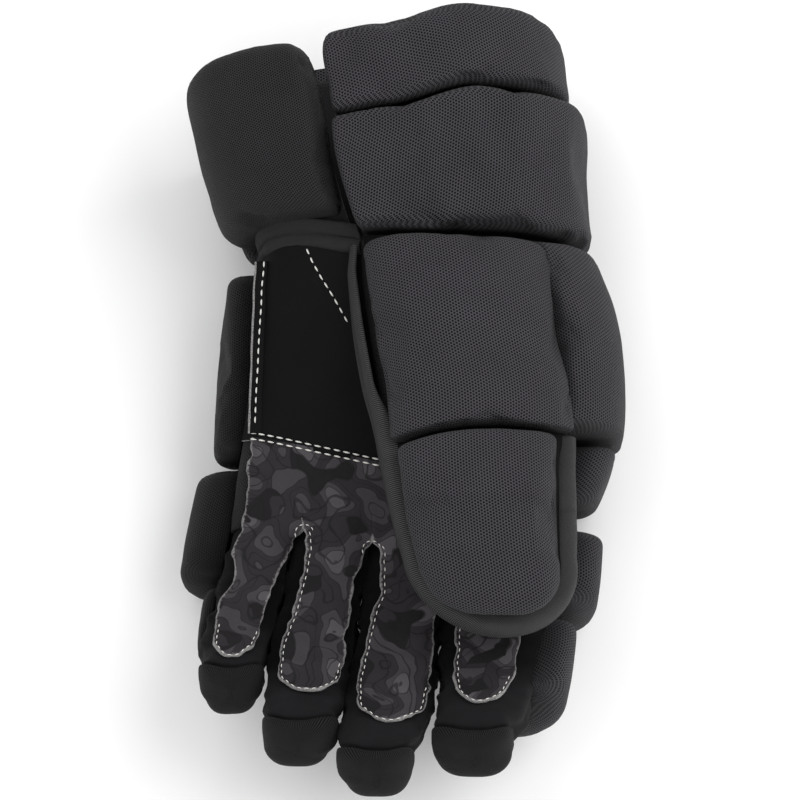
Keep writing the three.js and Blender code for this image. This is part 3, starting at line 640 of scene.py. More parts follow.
# Materials: small node graphs in millimetres of the cloth's own coordinates
class Graph:
    def __init__(self, name):
        self.material = bpy.data.materials.new(name)
        self.material.use_nodes = True
        self.tree = self.material.node_tree
        self.tree.nodes.clear()
        self.output = self.node("ShaderNodeOutputMaterial")
        self.shader = self.node("ShaderNodeBsdfPrincipled")
        self.tree.links.new(self.shader.outputs["BSDF"], self.output.inputs["Surface"])
        cloth = self.node("ShaderNodeUVMap")
        cloth.uv_map = "cloth"
        self.cloth = cloth.outputs["UV"]
        split = self.node("ShaderNodeSeparateXYZ")
        self.tree.links.new(self.cloth, split.inputs[0])
        self.u, self.v = split.outputs["X"], split.outputs["Y"]
        place = self.node("ShaderNodeTexCoord")
        self.place = place.outputs["Object"]
        self.edge = self.node("ShaderNodeAttribute", attribute_name="edge").outputs["Fac"]
        materials[name] = self.material

    def node(self, kind, **settings):
        n = self.tree.nodes.new(kind)
        for key, value in settings.items():
            setattr(n, key, value)
        return n

    def put(self, socket, value):
        if isinstance(value, bpy.types.NodeSocket):
            self.tree.links.new(value, socket)
        else:
            socket.default_value = value

    def math(self, operation, a, b=0.0, c=None, clamp=False):
        n = self.node("ShaderNodeMath", operation=operation, use_clamp=clamp)
        self.put(n.inputs[0], a)
        self.put(n.inputs[1], b)
        if c is not None:
            self.put(n.inputs[2], c)
        return n.outputs[0]

    def add(self, *values):
        total = values[0]
        for value in values[1:]:
            total = self.math("ADD", total, value)
        return total

    def times(self, a, b):
        return self.math("MULTIPLY", a, b)

    def wave(self, value, pitch, phase=0.0):
        return self.math("COSINE", self.math("ADD", self.times(value, 2 * math.pi / pitch), phase))

    def ramp(self, value, low, high, a=0.0, b=1.0):
        n = self.node("ShaderNodeMapRange", interpolation_type="SMOOTHSTEP")
        for socket, item in zip(n.inputs[:5], (value, low, high, a, b)):
            self.put(socket, item)
        return n.outputs[0]

    def noise(self, size, detail=2.0, vector=None, rough=0.5):
        n = self.node("ShaderNodeTexNoise")
        self.put(n.inputs["Vector"], self.place if vector is None else vector)
        scale = 1 / (size * (MM if vector is None else 1))
        n.inputs["Scale"].default_value = scale
        n.inputs["Detail"].default_value = detail
        n.inputs["Roughness"].default_value = rough
        return n.outputs["Fac"]

    def mix(self, factor, a, b):
        n = self.node("ShaderNodeMix", data_type="RGBA")
        self.put(n.inputs["Factor"], factor)
        self.put(n.inputs[6], rgb(a) if isinstance(a, str) else a)
        self.put(n.inputs[7], rgb(b) if isinstance(b, str) else b)
        return n.outputs[2]

    def scale_color(self, color, factor):
        n = self.node("ShaderNodeVectorMath", operation="SCALE")
        self.put(n.inputs[0], color[:3] if isinstance(color, tuple) else color)
        self.put(n.inputs["Scale"], factor)
        return n.outputs[0]

    def finish(self, color, roughness, height=None, depth=0.3, strength=0.6, sheen=0.0, specular=0.35):
        s = self.shader.inputs
        self.put(s["Base Color"], rgb(color) if isinstance(color, str) else color)
        self.put(s["Roughness"], roughness)
        s["Specular IOR Level"].default_value = specular
        s["Sheen Weight"].default_value = sheen
        s["Sheen Roughness"].default_value = 0.5
        if height is not None:
            bump = self.node("ShaderNodeBump")
            bump.inputs["Strength"].default_value = strength
            bump.inputs["Distance"].default_value = depth * MM
            self.put(bump.inputs["Height"], height)
            self.put(s["Normal"], bump.outputs["Normal"])
        return self.material


def rgb(text):
    value = [int(text[i : i + 2], 16) / 255 for i in (1, 3, 5)]
    linear = [c / 12.92 if c <= 0.04045 else ((c + 0.055) / 1.055) ** 2.4 for c in value]
    return (*linear, 1.0)


def mesh_weave(g, pitch):
    """Knitted mesh with staggered pits. Returns the pits from 0 to 1."""
    k = 2 / math.sqrt(3)
    a = g.wave(g.times(g.u, 1.0), pitch)
    half = g.times(g.u, 0.5)
    lean = g.times(g.v, 1 / k)
    b = g.wave(g.add(half, lean), pitch)
    c = g.wave(g.math("SUBTRACT", half, lean), pitch)
    return g.ramp(g.add(a, b, c), -0.9, 1.1)


def nylon(name, light, dark, pitch=1.25, depth=0.5):
    g = Graph(name)
    pits = mesh_weave(g, pitch)
    threads = g.wave(g.add(g.u, g.times(g.v, 0.6)), 0.42)
    shade = g.add(g.times(g.noise(18, 3), 0.5), g.times(g.noise(3, 2), 0.25))
    color = g.mix(pits, light, dark)
    color = g.scale_color(color, g.add(g.times(shade, 0.7), 0.72))
    # Painted shade: the colour darkens to 0.55 of itself within 2.2 mm of the pad's border, where the pad
    # rolls down into its seam
    seam = g.ramp(g.edge, 0.0, 2.2, 0.55, 1.0)
    color = g.scale_color(color, seam)
    height = g.add(g.times(pits, -1.0), g.times(threads, 0.07), g.times(g.noise(0.5, 1), 0.15))
    g.finish(color, 0.8, height, depth, 0.7, sheen=0.04, specular=0.14)


def plain_knit(name, color, lines, depth=0.15, rough=0.85, vary=0.25, sheen=0.15):
    g = Graph(name)
    ribs = g.wave(g.u, lines[0])
    rows = g.wave(g.v, lines[1])
    fine = g.noise(0.6, 2)
    broad = g.noise(14, 3)
    tone = g.add(g.times(broad, vary), g.times(ribs, 0.06), g.times(fine, 0.12), 1 - vary / 2 - 0.06)
    # Painted shade: the colour is scaled down to 0.2 where the edge value is low; the finger stalls give low
    # values towards the finger roots, the hem and lining give none
    c = g.scale_color(rgb(color), g.times(tone, g.ramp(g.edge, 0.0, 9.0, 0.2, 1.0)))
    height = g.add(g.times(ribs, 0.5), g.times(rows, 0.2), g.times(fine, 0.5))
    g.finish(c, rough, height, depth, 0.6, sheen=sheen, specular=0.1)


def ribbed(name, color, dark, pitch, along=True, depth=0.3):
    g = Graph(name)
    way = g.v if along else g.u
    other = g.u if along else g.v
    wobble = g.times(g.noise(5, 2), 0.25)
    ribs = g.ramp(g.wave(g.add(way, wobble), pitch), -0.8, 0.8)
    cross = g.wave(other, pitch * 0.8)
    tone = g.add(g.times(g.noise(9, 3), 0.4), 0.8)
    c = g.scale_color(g.mix(ribs, dark, color), tone)
    height = g.add(ribs, g.times(cross, 0.12), g.times(g.noise(0.5, 1), 0.2))
    g.finish(c, 0.8, height, depth, 0.8, sheen=0.02, specular=0.12)


def suede(name, color, vary=0.35):
    g = Graph(name)
    nap = g.noise(0.35, 3)
    patchy = g.noise(16, 4)
    scuffs = g.ramp(g.noise(4, 4, rough=0.7), 0.62, 0.8)
    tone = g.add(g.times(patchy, vary), g.times(nap, 0.3), 1 - vary / 2 - 0.15)
    c = g.scale_color(rgb(color), tone)
    c = g.mix(g.times(scuffs, 0.12), c, "#3a3a3c")
    height = g.add(nap, g.times(g.noise(2.5, 3), 1.2))
    g.finish(c, 0.72, height, 0.16, 0.5, sheen=0.0, specular=0.08)


def printed(name):
    """Suede with a print of its own: winding bands in greys with thin dark outlines."""
    g = Graph(name)
    bend = g.node("ShaderNodeTexNoise")
    g.put(bend.inputs["Vector"], g.cloth)
    bend.inputs["Scale"].default_value = 1 / 11
    bend.inputs["Detail"].default_value = 1
    shift = g.node("ShaderNodeVectorMath", operation="MULTIPLY_ADD")
    g.put(shift.inputs[0], bend.outputs["Color"])
    shift.inputs[1].default_value = (7, 7, 0)
    g.put(shift.inputs[2], g.cloth)
    way = shift.outputs[0]

    def bands(size, count, offset):
        """Levels of a smooth field: a random tone for each band and a line between bands."""
        moved = g.node("ShaderNodeVectorMath", operation="ADD")
        g.put(moved.inputs[0], way)
        moved.inputs[1].default_value = (offset, offset * 0.7, 0)
        field = g.times(g.noise(size, 0, vector=moved.outputs[0]), count)
        step = g.math("FLOOR", field)
        tone = g.math("FRACT", g.times(g.math("SINE", g.times(g.math("ADD", step, offset), 12.99)), 43.7))
        inside = g.math("FRACT", field)
        border = g.math("MINIMUM", inside, g.math("SUBTRACT", 1.0, inside))
        return tone, g.ramp(border, 0.03, 0.1, 1.0, 0.0)

    tone_a, line_a = bands(15, 9, 3.0)
    tone_b, line_b = bands(12, 7, 31.0)
    pick, line_c = bands(17, 5, 57.0)
    which = g.math("GREATER_THAN", pick, 0.5)
    level = g.add(g.times(which, tone_a), g.times(g.math("SUBTRACT", 1.0, which), tone_b))
    ramp = g.node("ShaderNodeValToRGB")
    ramp.color_ramp.interpolation = "CONSTANT"
    stops = [(0.0, "#1c1a1c"), (0.25, "#3b383b"), (0.5, "#2a272a"), (0.75, "#4c494c")]
    for k, (at, value) in enumerate(stops):
        e = ramp.color_ramp.elements[k] if k < 2 else ramp.color_ramp.elements.new(at)
        e.position = at
        e.color = rgb(value)
    g.put(ramp.inputs[0], level)
    line = g.add(g.times(which, line_a), g.times(g.math("SUBTRACT", 1.0, which), line_b))
    lines = g.times(g.math("MAXIMUM", line, line_c), 0.7)
    color = g.mix(lines, ramp.outputs[0], "#181718")
    nap = g.noise(0.35, 3)
    tone = g.add(g.times(nap, 0.35), g.times(g.noise(9, 3), 0.35), 0.66)
    color = g.scale_color(color, tone)
    fray = g.add(g.edge, g.times(g.math("SUBTRACT", g.noise(1.1, 4, rough=0.7), 0.5), 3.4))
    raw = g.ramp(fray, 0.25, 1.1, 0.85, 0.0)
    color = g.mix(raw, color, "#807e7e")
    height = g.add(nap, g.times(g.noise(2.2, 3), 1.4), g.times(raw, 1.2))
    g.finish(color, 0.75, height, 0.2, 0.55, sheen=0.02, specular=0.12)


def raw_edge():
    g = Graph("raw_edge")
    fibres = g.noise(0.45, 4, rough=0.7)
    c = g.mix(g.ramp(fibres, 0.35, 0.65), "#4c4a4a", "#a3a1a0")
    g.finish(c, 0.95, fibres, 0.4, 0.8, sheen=0.3, specular=0.2)


def thread(name, color):
    g = Graph(name)
    g.finish(color, 0.6, g.noise(0.3, 1), 0.05, 0.5, sheen=0.2)


nylon("nylon", "#403e42", "#020202")
# A darker nylon with a finer weave, used for the cuff flap; on the pinky-side pads, which are of the same
# nylon as the rest, it is painted shade for the side turned from the light
nylon("flap_and_shaded_nylon", "#2d2c2e", "#020202", pitch=1.05)
nylon("mesh", "#232224", "#040405", pitch=1.1)
plain_knit("lycra", "#18181a", (0.5, 0.6), vary=0.6, sheen=0.02)
ribbed("cap_knit", "#232325", "#020202", 1.05, along=False)
ribbed("tape", "#4c4c4d", "#161617", 0.9)
plain_knit("hem", "#272728", (0.7, 0.5), sheen=0.03)
plain_knit("lining", "#1d1d1f", (1.2, 1.6), depth=0.3)
suede("suede", "#0d0d0e")
printed("printed")
raw_edge()
thread("thread", "#d6d4cf")
thread("dark_thread", "#141415")

# Cuff
def slope(angle):
    return TOP_ROLL_DROP * smoothstep(angle, 66, 104) / CUFF_LENGTH


def roll_start(angle):
    return 1 - CUFF_TOP_ROLL / CUFF_LENGTH - slope(angle)


def roll_end(angle):
    back = TOP_ROLL_BACK_DROP * smoothstep(-angle, 95, -TOP_ROLL_BACK)
    side = 3 * smoothstep(-angle, -45, 10)
    return 1 - slope(angle) - (back + side) / CUFF_LENGTH


ROLL = (BACK_SLIT + 1 - 360, SLIT[0])
TOP = (TOP_ROLL_BACK, SLIT[0])
pad("cuff_main_roll", cuff, *ROLL, 0.005, lambda r: roll_start(lerp(*ROLL, r)) - 0.006, PAD_GAP, CUFF_PAD,
    rows=40, columns=150, round=(0.02, 0.02), radius=15, radius_start=8, radius_end=7, radius_high=5,
    power=3, crown=0.1, seed=2, crowd=0.6, settled=True)
pad("cuff_top_roll", cuff, *TOP, lambda r: roll_start(lerp(*TOP, r)) + 0.006,
    lambda r: roll_end(lerp(*TOP, r)),
    2 * PAD_GAP, CUFF_TOP_PAD, rows=32, columns=120, round=(0.02, 0.04), radius=13, radius_start=6,
    radius_high=6, power=3,
    crown=0.1, seed=3, crowd=0.6, settled=True)
pad("cuff_flap", cuff, SLIT[1], BACK_SLIT, lambda r: (FLAP_BOTTOM - FLAP_BOTTOM_DROP * r * r) / CUFF_LENGTH,
    lambda r: (FLAP_TOP - FLAP_SLOPE * r) / CUFF_LENGTH, PAD_GAP, FLAP_PAD, "flap_and_shaded_nylon",
    rows=44, columns=60, round=(0.15, 0.35), radius=13, radius_low=6, power=3, crown=0.08, seed=4,
    settled=True)


def sleeve_sheet(name, sleeve, low, high, start, end, lift, thickness, material, **o):
    rows, columns = o.get("rows", 30), o.get("columns", 60)
    grid = patch_grid(sleeve, low, high, start, end, rows, columns, 0.0, o.get("round", (0, 0)))
    s, r, share, u, angle = grid
    top = on(sleeve, u, angle, lift + thickness)
    n = outward(top, normals(top), sleeve, u)
    relief = o.get("relief", 0.25) * noise(top, 13, o.get("seed", 1))
    if "fold" in o:
        relief = relief + o["fold"](s, r, top)
    top = top + n * relief[..., None]
    n = outward(top, normals(top), sleeve, u)
    way_s = steps_of(top, 0)
    way_r = steps_of(top, 1)
    edge = np.full(top.shape[:2], 9.0)
    for side in o.get("raw", ()):
        d = {"low": way_r, "high": way_r[:, -1:] - way_r, "start": way_s, "end": way_s[-1:] - way_s}[side]
        edge = np.minimum(edge, d)
    surface[name] = dict(top=top, n=n, s=s, r=r)
    return sheet(name + "_cloth", top, n, thickness, material, o.get("rim"), edge, replaces=(name,))


LINING = (SLIT[1] - 360, SLIT[0])


def lining_end(r):
    angle = lerp(*LINING, r)
    under_roll = np.minimum(roll_end(angle) - 0.07 - 0.12 * smoothstep(angle, 88, 103), 0.9)
    return np.where(angle < TOP_ROLL_BACK, (FLAP_TOP - 25) / CUFF_LENGTH, under_roll)


sleeve_sheet("cuff_lining", cuff, LINING[0] + 1, LINING[1], SEAM_GAP / CUFF_LENGTH, lining_end, -CUFF_LINING,
             CUFF_LINING, "lining", rows=30, columns=110)
sleeve_sheet("flap_lining", cuff, SLIT[1] + 1, BACK_SLIT - 2, 0.612,
             lambda r: (FLAP_TOP - 5 - FLAP_SLOPE * r - 10 * (1 - r) ** 6) / CUFF_LENGTH, -CUFF_LINING,
             CUFF_LINING, "lining", rows=14, columns=36, round=(0, 0.5))

# Hand
def ring_grid(sleeve, u, columns, lift):
    """Rings round a sleeve at places u, evenly spaced on each outline."""
    shares = np.arange(columns) / columns
    nominal = np.clip(u, None, 1) if sleeve.tip else u
    angle = spread_angles(sleeve, nominal, [-180.0] * len(u), [180.0] * len(u), shares)
    lift = lift(u[:, None] + 0 * angle, angle) if callable(lift) else lift
    return angle, on(sleeve, u[:, None], angle, lift)


u = np.linspace(0, 1, 60)
angle, outer = ring_grid(hand, u, 150, 0.0)
folds = 0.35 * noise(outer, 8, 21) + 0.2 * noise(outer * [1, 2.2, 1], 6, 22)
flow = outer - hand_section(u)[0][:, None]
flow = flow / np.linalg.norm(flow, axis=-1, keepdims=True)
_, inner = ring_grid(hand, u, 150, -LINER_WALL)
tube("hand_liner_cloth", outer + flow * folds[..., None], "mesh", inner=inner, replaces=("hand_liner",))

for name, start, end in (("wrist", 0.03, 0.335), ("middle", 0.35, 0.66), ("knuckle", 0.675, 0.985)):
    pad("back_roll_" + name, hand, *BACK_SIDES, start, end, SEAM_GAP, BACK_PAD, rows=30, columns=48,
        radius=10, seed=len(name))
pinky_start = 1 + FINGER_PADS[PINKY]["start"] * fingers[PINKY].length / HAND_LENGTH
# Darker nylon here is painted shade: the pinky-side pad is the same nylon as the other pads
pad("pinky_side_pad", hand, 174, 238.5, 0.06, pinky_start - 0.015, PAD_GAP, HAND_SIDE_PAD, rows=50,
    columns=36, radius=9, swell=(1.25, 1), seed=6, settled=True, material="flap_and_shaded_nylon")
pad("thumb_side_pad", hand, -55.5, 56, 0.01, 0.69, 1.2 * PAD_GAP, THUMB_SIDE_PAD, rows=60, columns=72,
    radius=12, radius_start=7, radius_end=5, radius_high=3.5, round=(0.1, 0.02), swell=(0.6, 1.3),
    seed=7, settled=True)
pad("index_knuckle_pad", hand, -55.5, 20, 0.705, 0.925, PAD_GAP,
    lambda r: lerp(BACK_PAD, INDEX_KNUCKLE_PAD, np.minimum(2 * r, 1)), rows=40, columns=48, radius=12,
    radius_start=5, radius_end=6, swell=(1, 0.8), round=(0.05, 0.2), seed=8, settled=True)

# Fingers. How far each knit stall bulges past its sleeve's left and right side, and its cap likewise
STALLS = [
    dict(along=[0, 0.1, 0.3, 0.4, 0.5, 0.6, 0.7, 0.8, 0.9, 0.97],
         left=[1.2, 1.7, 2.0, 2.1, 2.3, 1.2, 0.4, 0.3, 0.8, 1.0],
         right=[0, 0, 4, 6.5, 7, 6, 5.2, 5.2, 4.6, 0.2], cap=(1.2, -0.2)),
    dict(along=[0, 0.1, 0.3, 0.4, 0.5, 0.6, 0.7, 0.8, 0.9, 0.97],
         left=[1.2, 1.8, 2.0, 2.2, 2.7, 3.2, 4.0, 4.4, 3.6, 2.2],
         right=[1.2, 1.7, 2.1, 2.4, 2.9, 4.6, 4.4, 5.2, 3.4, 0.2], cap=(2.6, 0.4)),
    dict(along=[0, 0.1, 0.3, 0.4, 0.5, 0.6, 0.7, 0.8, 0.9, 0.97],
         left=[1.2, 1.7, 2.4, 3.0, 4.0, 4.3, 3.7, 2.0, 0.8, -0.8],
         right=[1.2, 1.8, 2.0, 2.2, 2.6, 2.9, 3.2, 3.0, 3.0, 2.6], cap=(-0.6, 3.0)),
    dict(along=[0, 0.1, 0.3, 0.4, 0.5, 0.6, 0.7, 0.8, 0.9, 0.97],
         left=[0, 0, 0, 0.8, 1.8, 3, 4.2, 4.6, 3.6, 1.8],
         right=[1.2, 1.5, 1.6, 1.7, 1.6, 1.6, 1.5, 1.5, 1.9, 2.0], cap=(1.8, 2.0)),
]


def sides_only(angle):
    """1 on the sides of a finger, 0 on its palm side and where its back pads lie."""
    rise = np.sin(np.radians(angle))
    return np.where(rise > 0, 1 - smoothstep(rise, 0.45, 0.97), 1 - smoothstep(-rise, 0.1, 0.45))


for i, sleeve in enumerate(fingers):
    f = FINGERS[i]
    p = FINGER_PADS[i]
    sides = dict(left=0, right=0)
    low, high = 213, 327
    if i == INDEX:
        high, sides["right"] = 372, 1
    if i == PINKY:
        low, sides["left"] = 175, 1

    def thickness(back, side, i=i):
        if i == INDEX:
            return lambda r: lerp(back, side, np.minimum(2 * r, 1))
        if i == PINKY:
            return lambda r: lerp(side, back, np.maximum(2 * r - 1, 0))
        return lambda r: back + 0 * r

    wide = dict(rows=36, columns=50 if i in (INDEX, PINKY) else 30, radius=9, **sides)
    # The pinky's pads take the darker nylon as painted shade
    wide["material"] = "flap_and_shaded_nylon" if i == PINKY else "nylon"
    pad(f["name"] + "_pad_proximal", sleeve, low, high, p["start"], p["joint"] - 0.008, PAD_GAP,
        thickness(BACK_PAD, p["side"][0]), seed=30 + i, **wide)
    pad(f["name"] + "_pad_distal", sleeve, low, high, p["joint"] + 0.008, p["end"], PAD_GAP,
        thickness(0.8 * BACK_PAD, p["side"][1]), seed=40 + i, **wide)

    def seam(angle):
        palm = np.clip(np.sin(np.radians(angle)), -1, 1)
        return 0.95 + np.where(palm > 0, 0.5 * palm**1.5, 0.1 * palm)

    def stall_lift(u, angle, strip=f["strip"]):
        past_strip = smoothstep(u, strip - 0.16, strip - 0.02)
        bulge = 1.4 * past_strip * (1 - smoothstep(u, seam(angle) - 0.1, seam(angle)))
        pinch = -0.8 * np.exp(-(((u - seam(angle)) / 0.03) ** 2))
        return bulge + pinch - 0.8

    u = np.concatenate([np.linspace(0, 1, 70), 1 + places(18, 0.0)[1:]])
    angle, outer = ring_grid(sleeve, u, 84, stall_lift)
    _, inner = ring_grid(sleeve, u, 84, -2.0)
    share = sides_only(angle)
    body = stall_lift(u[:, None] + 0 * angle, angle)
    left, right = (column(STALLS[i], key, u)[:, None] * share + body for key in ("left", "right"))
    outer = on(sleeve, u[:, None], angle, body, left, right)
    centre = sleeve.section(np.minimum(u, 1))[0][:, None]
    flow = outer - centre
    flow = flow / np.linalg.norm(flow, axis=-1, keepdims=True)
    side = np.abs(np.cos(np.radians(angle))) ** 2
    gather = noise(outer * [0.35, 1, 0.5], 4.2, 50 + i) * 1.7 * (0.3 + side)
    gather = gather * (1 - smoothstep(u, 0.95, 1.3))[:, None]
    crease = 0.5 * noise(outer, 10, 60 + i)
    outer = outer + flow * (gather + crease * (1 - smoothstep(u, 0.9, 1.2))[:, None])[..., None]
    # Painted shade: the lycra is darkened towards each finger's root, between the fingers; this value is 0
    # there and 9 towards the tip
    root_shade = 9 * smoothstep(u[:, None] + 0 * angle, 0.62, 0.86)
    tube(f["name"] + "_stall_cloth", outer, "lycra", close=(False, True), inner=inner, edge=root_shade,
         replaces=(f["name"] + "_stall",))

    shares = np.arange(96) / 96
    tip_angle = spread_angles(sleeve, [1.0], [-180.0], [180.0], shares)
    go = np.linspace(0, 1, 44)[:, None] ** 1.15
    u = lerp(seam(tip_angle), 2.0, go)
    angle = tip_angle + 0 * u
    hem = 0.55 * np.exp(-(((go - 0.035) / 0.03) ** 2))
    lift = -0.7 + 1.0 * smoothstep(go, 0, 0.03) + hem + 0.5 * np.sin(go * np.pi)
    share = sides_only(angle)
    left, right = (lift + amount * share for amount in STALLS[i]["cap"])
    outer = on(sleeve, u, angle, lift + 0.8, left, right)
    inner = on(sleeve, u, angle, -0.9)
    flow = outer - sleeve.section(np.float64(1))[0]
    flow = flow / np.linalg.norm(flow, axis=-1, keepdims=True)
    outer = outer + flow * (0.35 * noise(outer, 9, 70 + i))[..., None]
    along = steps_of(outer, 0)
    uv = np.stack([np.broadcast_to(shares * 100.0, angle.shape), along], -1)
    tube(f["name"] + "_cap_cloth", outer, "cap_knit", close=(False, True), uv=uv, inner=inner,
         replaces=(f["name"] + "_cap",))

# Thumb
u = np.concatenate([np.linspace(0.0, 1, 60), 1 + places(18, 0.0)[1:]])
_, outer = ring_grid(thumb, u, 120, 0.0)
_, inner = ring_grid(cavity, u, 120, 0.0)
tube("thumb_stall_cloth", outer, "mesh", close=(False, True), inner=inner, replaces=("thumb_stall",))


def panel_low(s):
    return lerp(22, 38, smoothstep(s * PANEL_END, THUMB_SEAM - 0.1, THUMB_SEAM + 0.1))


def thumb_seam(r):
    return THUMB_SEAM + THUMB_SEAM_DROP * smoothstep(r, 0.45, 1)


sleeve_sheet("thumb_panel", thumb, panel_low, 151.5, 0, PANEL_END, PAD_GAP, PANEL_WALL, "suede", rows=70,
             columns=50, round=(0, 0.5))
PANEL_LIFT = PAD_GAP + PANEL_WALL + PAD_GAP
pad("thumb_base_pad", thumb, 24, 150, lambda r: 0.002 + 0.03 * np.abs(2 * r - 1) ** 3,
    lambda r: thumb_seam(r) - 0.004, PANEL_LIFT, THUMB_PAD, rows=60, columns=64, right=0.3, left=0.4,
    round=(0.0, 0.0), radius=4.5, radius_start=6, radius_end=4.5, radius_high=9, power=3, crown=0.16,
    seed=12, settled=True)
pad("thumb_tip_pad", thumb, 43, 137, lambda r: thumb_seam(r) + 0.004, 1.52, PANEL_LIFT, THUMB_PAD, rows=64,
    columns=56, right=0.1, round=(0.0, 0.5), radius=14, radius_start=4.5, power=2.6, crown=0.14, seed=13,
    settled=True)


def rim_path(sleeve, start, end, rows, tip_rows):
    up = [(v, 0.0) for v in np.linspace(start, 1, rows)]
    turn = [(1.0, v) for v in np.linspace(0, 180, tip_rows)[1:-1]]
    back = [(v, 180.0) for v in np.linspace(1, end, rows // 2)]
    return np.array(up + turn + back)


path = rim_path(thumb, 0.02, 0.62, 100, 70)
centre, across, up, along, width, depth, power = thumb.section(path[:, 0])
turn = np.radians(path[:, 1])
a = (np.arange(32) + 0.5) / 32 * 2 * np.pi
out = np.sign(np.cos(a)) * np.abs(np.cos(a)) ** 0.72 * BINDING_WIDTH / 2
rise = np.sign(np.sin(a)) * np.abs(np.sin(a)) ** 0.72 * BINDING_DEPTH / 2
wave = 0.35 * noise(centre, 14, 5)
full = np.where(path[:, 1] > 90, 1, smoothstep(path[:, 0], 0.45, 0.66))
lean = 1.9 * smoothstep(np.arange(len(path)), 0, 10)
inner_edge = lerp(1.2 + lean, -6.8, full)
outer_edge = BINDING_WIDTH / 2 + lerp(lean, 0, full)
reach = lerp(inner_edge[:, None], outer_edge[:, None], out[None] / BINDING_WIDTH + 0.5) + wave[:, None]
rings = (
    centre[:, None]
    + across[:, None] * ((-np.cos(turn)[:, None] * (width[:, None] + reach))[..., None])
    + along * ((np.sin(turn)[:, None] * (THUMB_TIP + reach))[..., None])
    + up[:, None] * rise[None, :, None]
)
tube("thumb_binding_cloth", rings, "tape", close=(True, True), replaces=("thumb_binding",))
sleeve_sheet("thumb_palm", thumb, 222, 305, 0.35, 1.42, PAD_GAP, LEATHER, "suede", rows=50, columns=36,
             round=(0, 0.5))

# Palm
PALM = (62.0, 168.0)
HEM = (103.0, 176.0)


def hem_edge(angle):
    middle = (HEM[0] + HEM[1]) / 2
    side = (angle - middle) / (HEM[1] - middle)
    return HEM_START - WRIST_ARCH * np.minimum(side * side, 1)


def palm_seam(angle):
    x = on(hand, np.full(107, 0.55), np.linspace(*PALM, 107), SEAM_GAP)[..., 0]
    x = np.interp(angle, np.linspace(*PALM, 107), x)
    return (PALM_SEAM + PALM_SEAM_SLANT * (0.5 - (x - 55) / -125)) / HAND_LENGTH


gap = 2 * SEAM_GAP / HAND_LENGTH
sleeve_sheet("palm_upper", hand, *PALM, lambda r: (WRIST_HEM - 2 - hem_edge(lerp(*PALM, r))) / HAND_LENGTH,
             lambda r: palm_seam(lerp(*PALM, r)) + 0.5 * gap, SEAM_GAP, LEATHER, "suede", rows=60, columns=64,
             rim="raw_edge", raw=("high",), relief=0.5)
s, r, share, u, angle = patch_grid(cuff, *HEM, lambda r: (hem_edge(lerp(*HEM, r)) - WRIST_HEM) / CUFF_LENGTH,
                                   lambda r: (hem_edge(lerp(*HEM, r)) + 3) / CUFF_LENGTH, 30, 80, 0.3, (0, 0))
fold = np.where(s < 0.48, 1 - (s / 0.24 - 1) ** 2, 0.8 * (1 - ((s - 0.48) / 0.26 - 1) ** 4))
band = on(cuff, u, angle, SEAM_GAP + 0.8 + 2.6 * np.clip(fold, 0, 1) ** 0.5 + 0 * angle)
n = outward(band, normals(band), cuff, u)
band = band + n * (0.6 * noise(band * [0.7, 1, 1], 8, 3) + 0.25 * noise(band, 3.5, 4))[..., None]
sheet("wrist_hem_cloth", band, n, 1.2, "hem", replaces=("wrist_hem",))

# Lower palm and finger strips, one sheet cut between the fingers


def hand_top(x, y, lift):
    t = -y / HAND_LENGTH
    centre, _, _, _, width, depth, power = hand_section(t)
    q = np.clip(np.abs(x - centre[..., 0]) / (width + lift), 0, 0.995)
    return vec(x, y, centre[..., 2] + (depth + lift) * (1 - q**power) ** (1 / power))


LIFT = SEAM_GAP + LEATHER
# The palm's free edge stands out past its seam as a narrow flange with a pale raw rim
y = np.linspace(-7.5, -84.5, 90)[:, None]
x = np.interp(-y, [7.5, 23.6, 46.5, 69.4, 84.5], [-64.9, -65.5, -66.3, -67.3, -67.7])
x = x + 0.25 * noise(vec(x, y, 0 * y), 9, 60)
across = np.linspace(0, 1, 8)[None]
flange = hand_top(np.maximum(x + 6, -61) + 0 * across, y + 0 * across, LIFT)
flange = flange + vec((x - flange[..., 0]) * across, 0 * across * y,
                      0.4 - 1.3 * (1 - across) ** 6 - 1.5 * across**2 + 0 * y)
flange_n = normals(flange)
flange_n = flange_n * np.sign(flange_n[..., 2].mean())
sheet("palm_flange", flange, flange_n, 0.8, "suede")
line = flange[:, -1]
turn = np.radians(np.arange(0, 360, 45))
ring = vec(np.cos(turn), 0 * turn, np.sin(turn))
thick = 0.5 + 0.12 * noise(line, 5, 61)
tube("palm_raw_edge", line[:, None] + thick[:, None, None] * ring, "raw_edge", close=(True, True))
HAND_ROWS, FINGER_ROWS, ACROSS = 34, 74, 30
# Edges of each strip, in millimetres to the left and right of its finger's middle, and how far past the
# finger roots the sheet is still joined to its neighbours on each side
STRIPS = [
    dict(along=[0.1, 0.5, 0.62, 0.8, 0.95], left=[-14, -13, -12.8, -12, -11], right=[17, 16, 16.6, 15.6, 14],
         joined=(9, 9), drift=(0, 0)),
    dict(along=[0.05, 0.29, 0.4, 0.51, 0.63, 0.76, 0.85, 0.95],
         left=[-13.6, -9.5, -11.6, -12.3, -13, -13.8, -13.4, -12],
         right=[15, 15, 16, 17.5, 18.2, 19.9, 20.8, 21], joined=(7.2, 9), drift=(0, 0)),
    dict(along=[0.05, 0.18, 0.33, 0.49, 0.6, 0.72, 0.84, 0.95],
         left=[-11, -9.9, -10.3, -11.3, -13, -13.5, -13, -12],
         right=[16.5, 15.2, 13, 14.6, 14.9, 17, 18.6, 19], joined=(0, 7.2), drift=(3.6, 0)),
    dict(along=[0, 0.17, 0.4, 0.58, 0.8, 1], left=[-11, -10.1, -7.9, -11.1, -10.2, -9.5],
         right=[16, 14.6, 11.7, 10.8, 11.7, 12], joined=(-2, 0), drift=(7, 3.6), seam=10.3),
]
verts, uvs, edges, faces, grids = [], [], [], [], []
total = 0
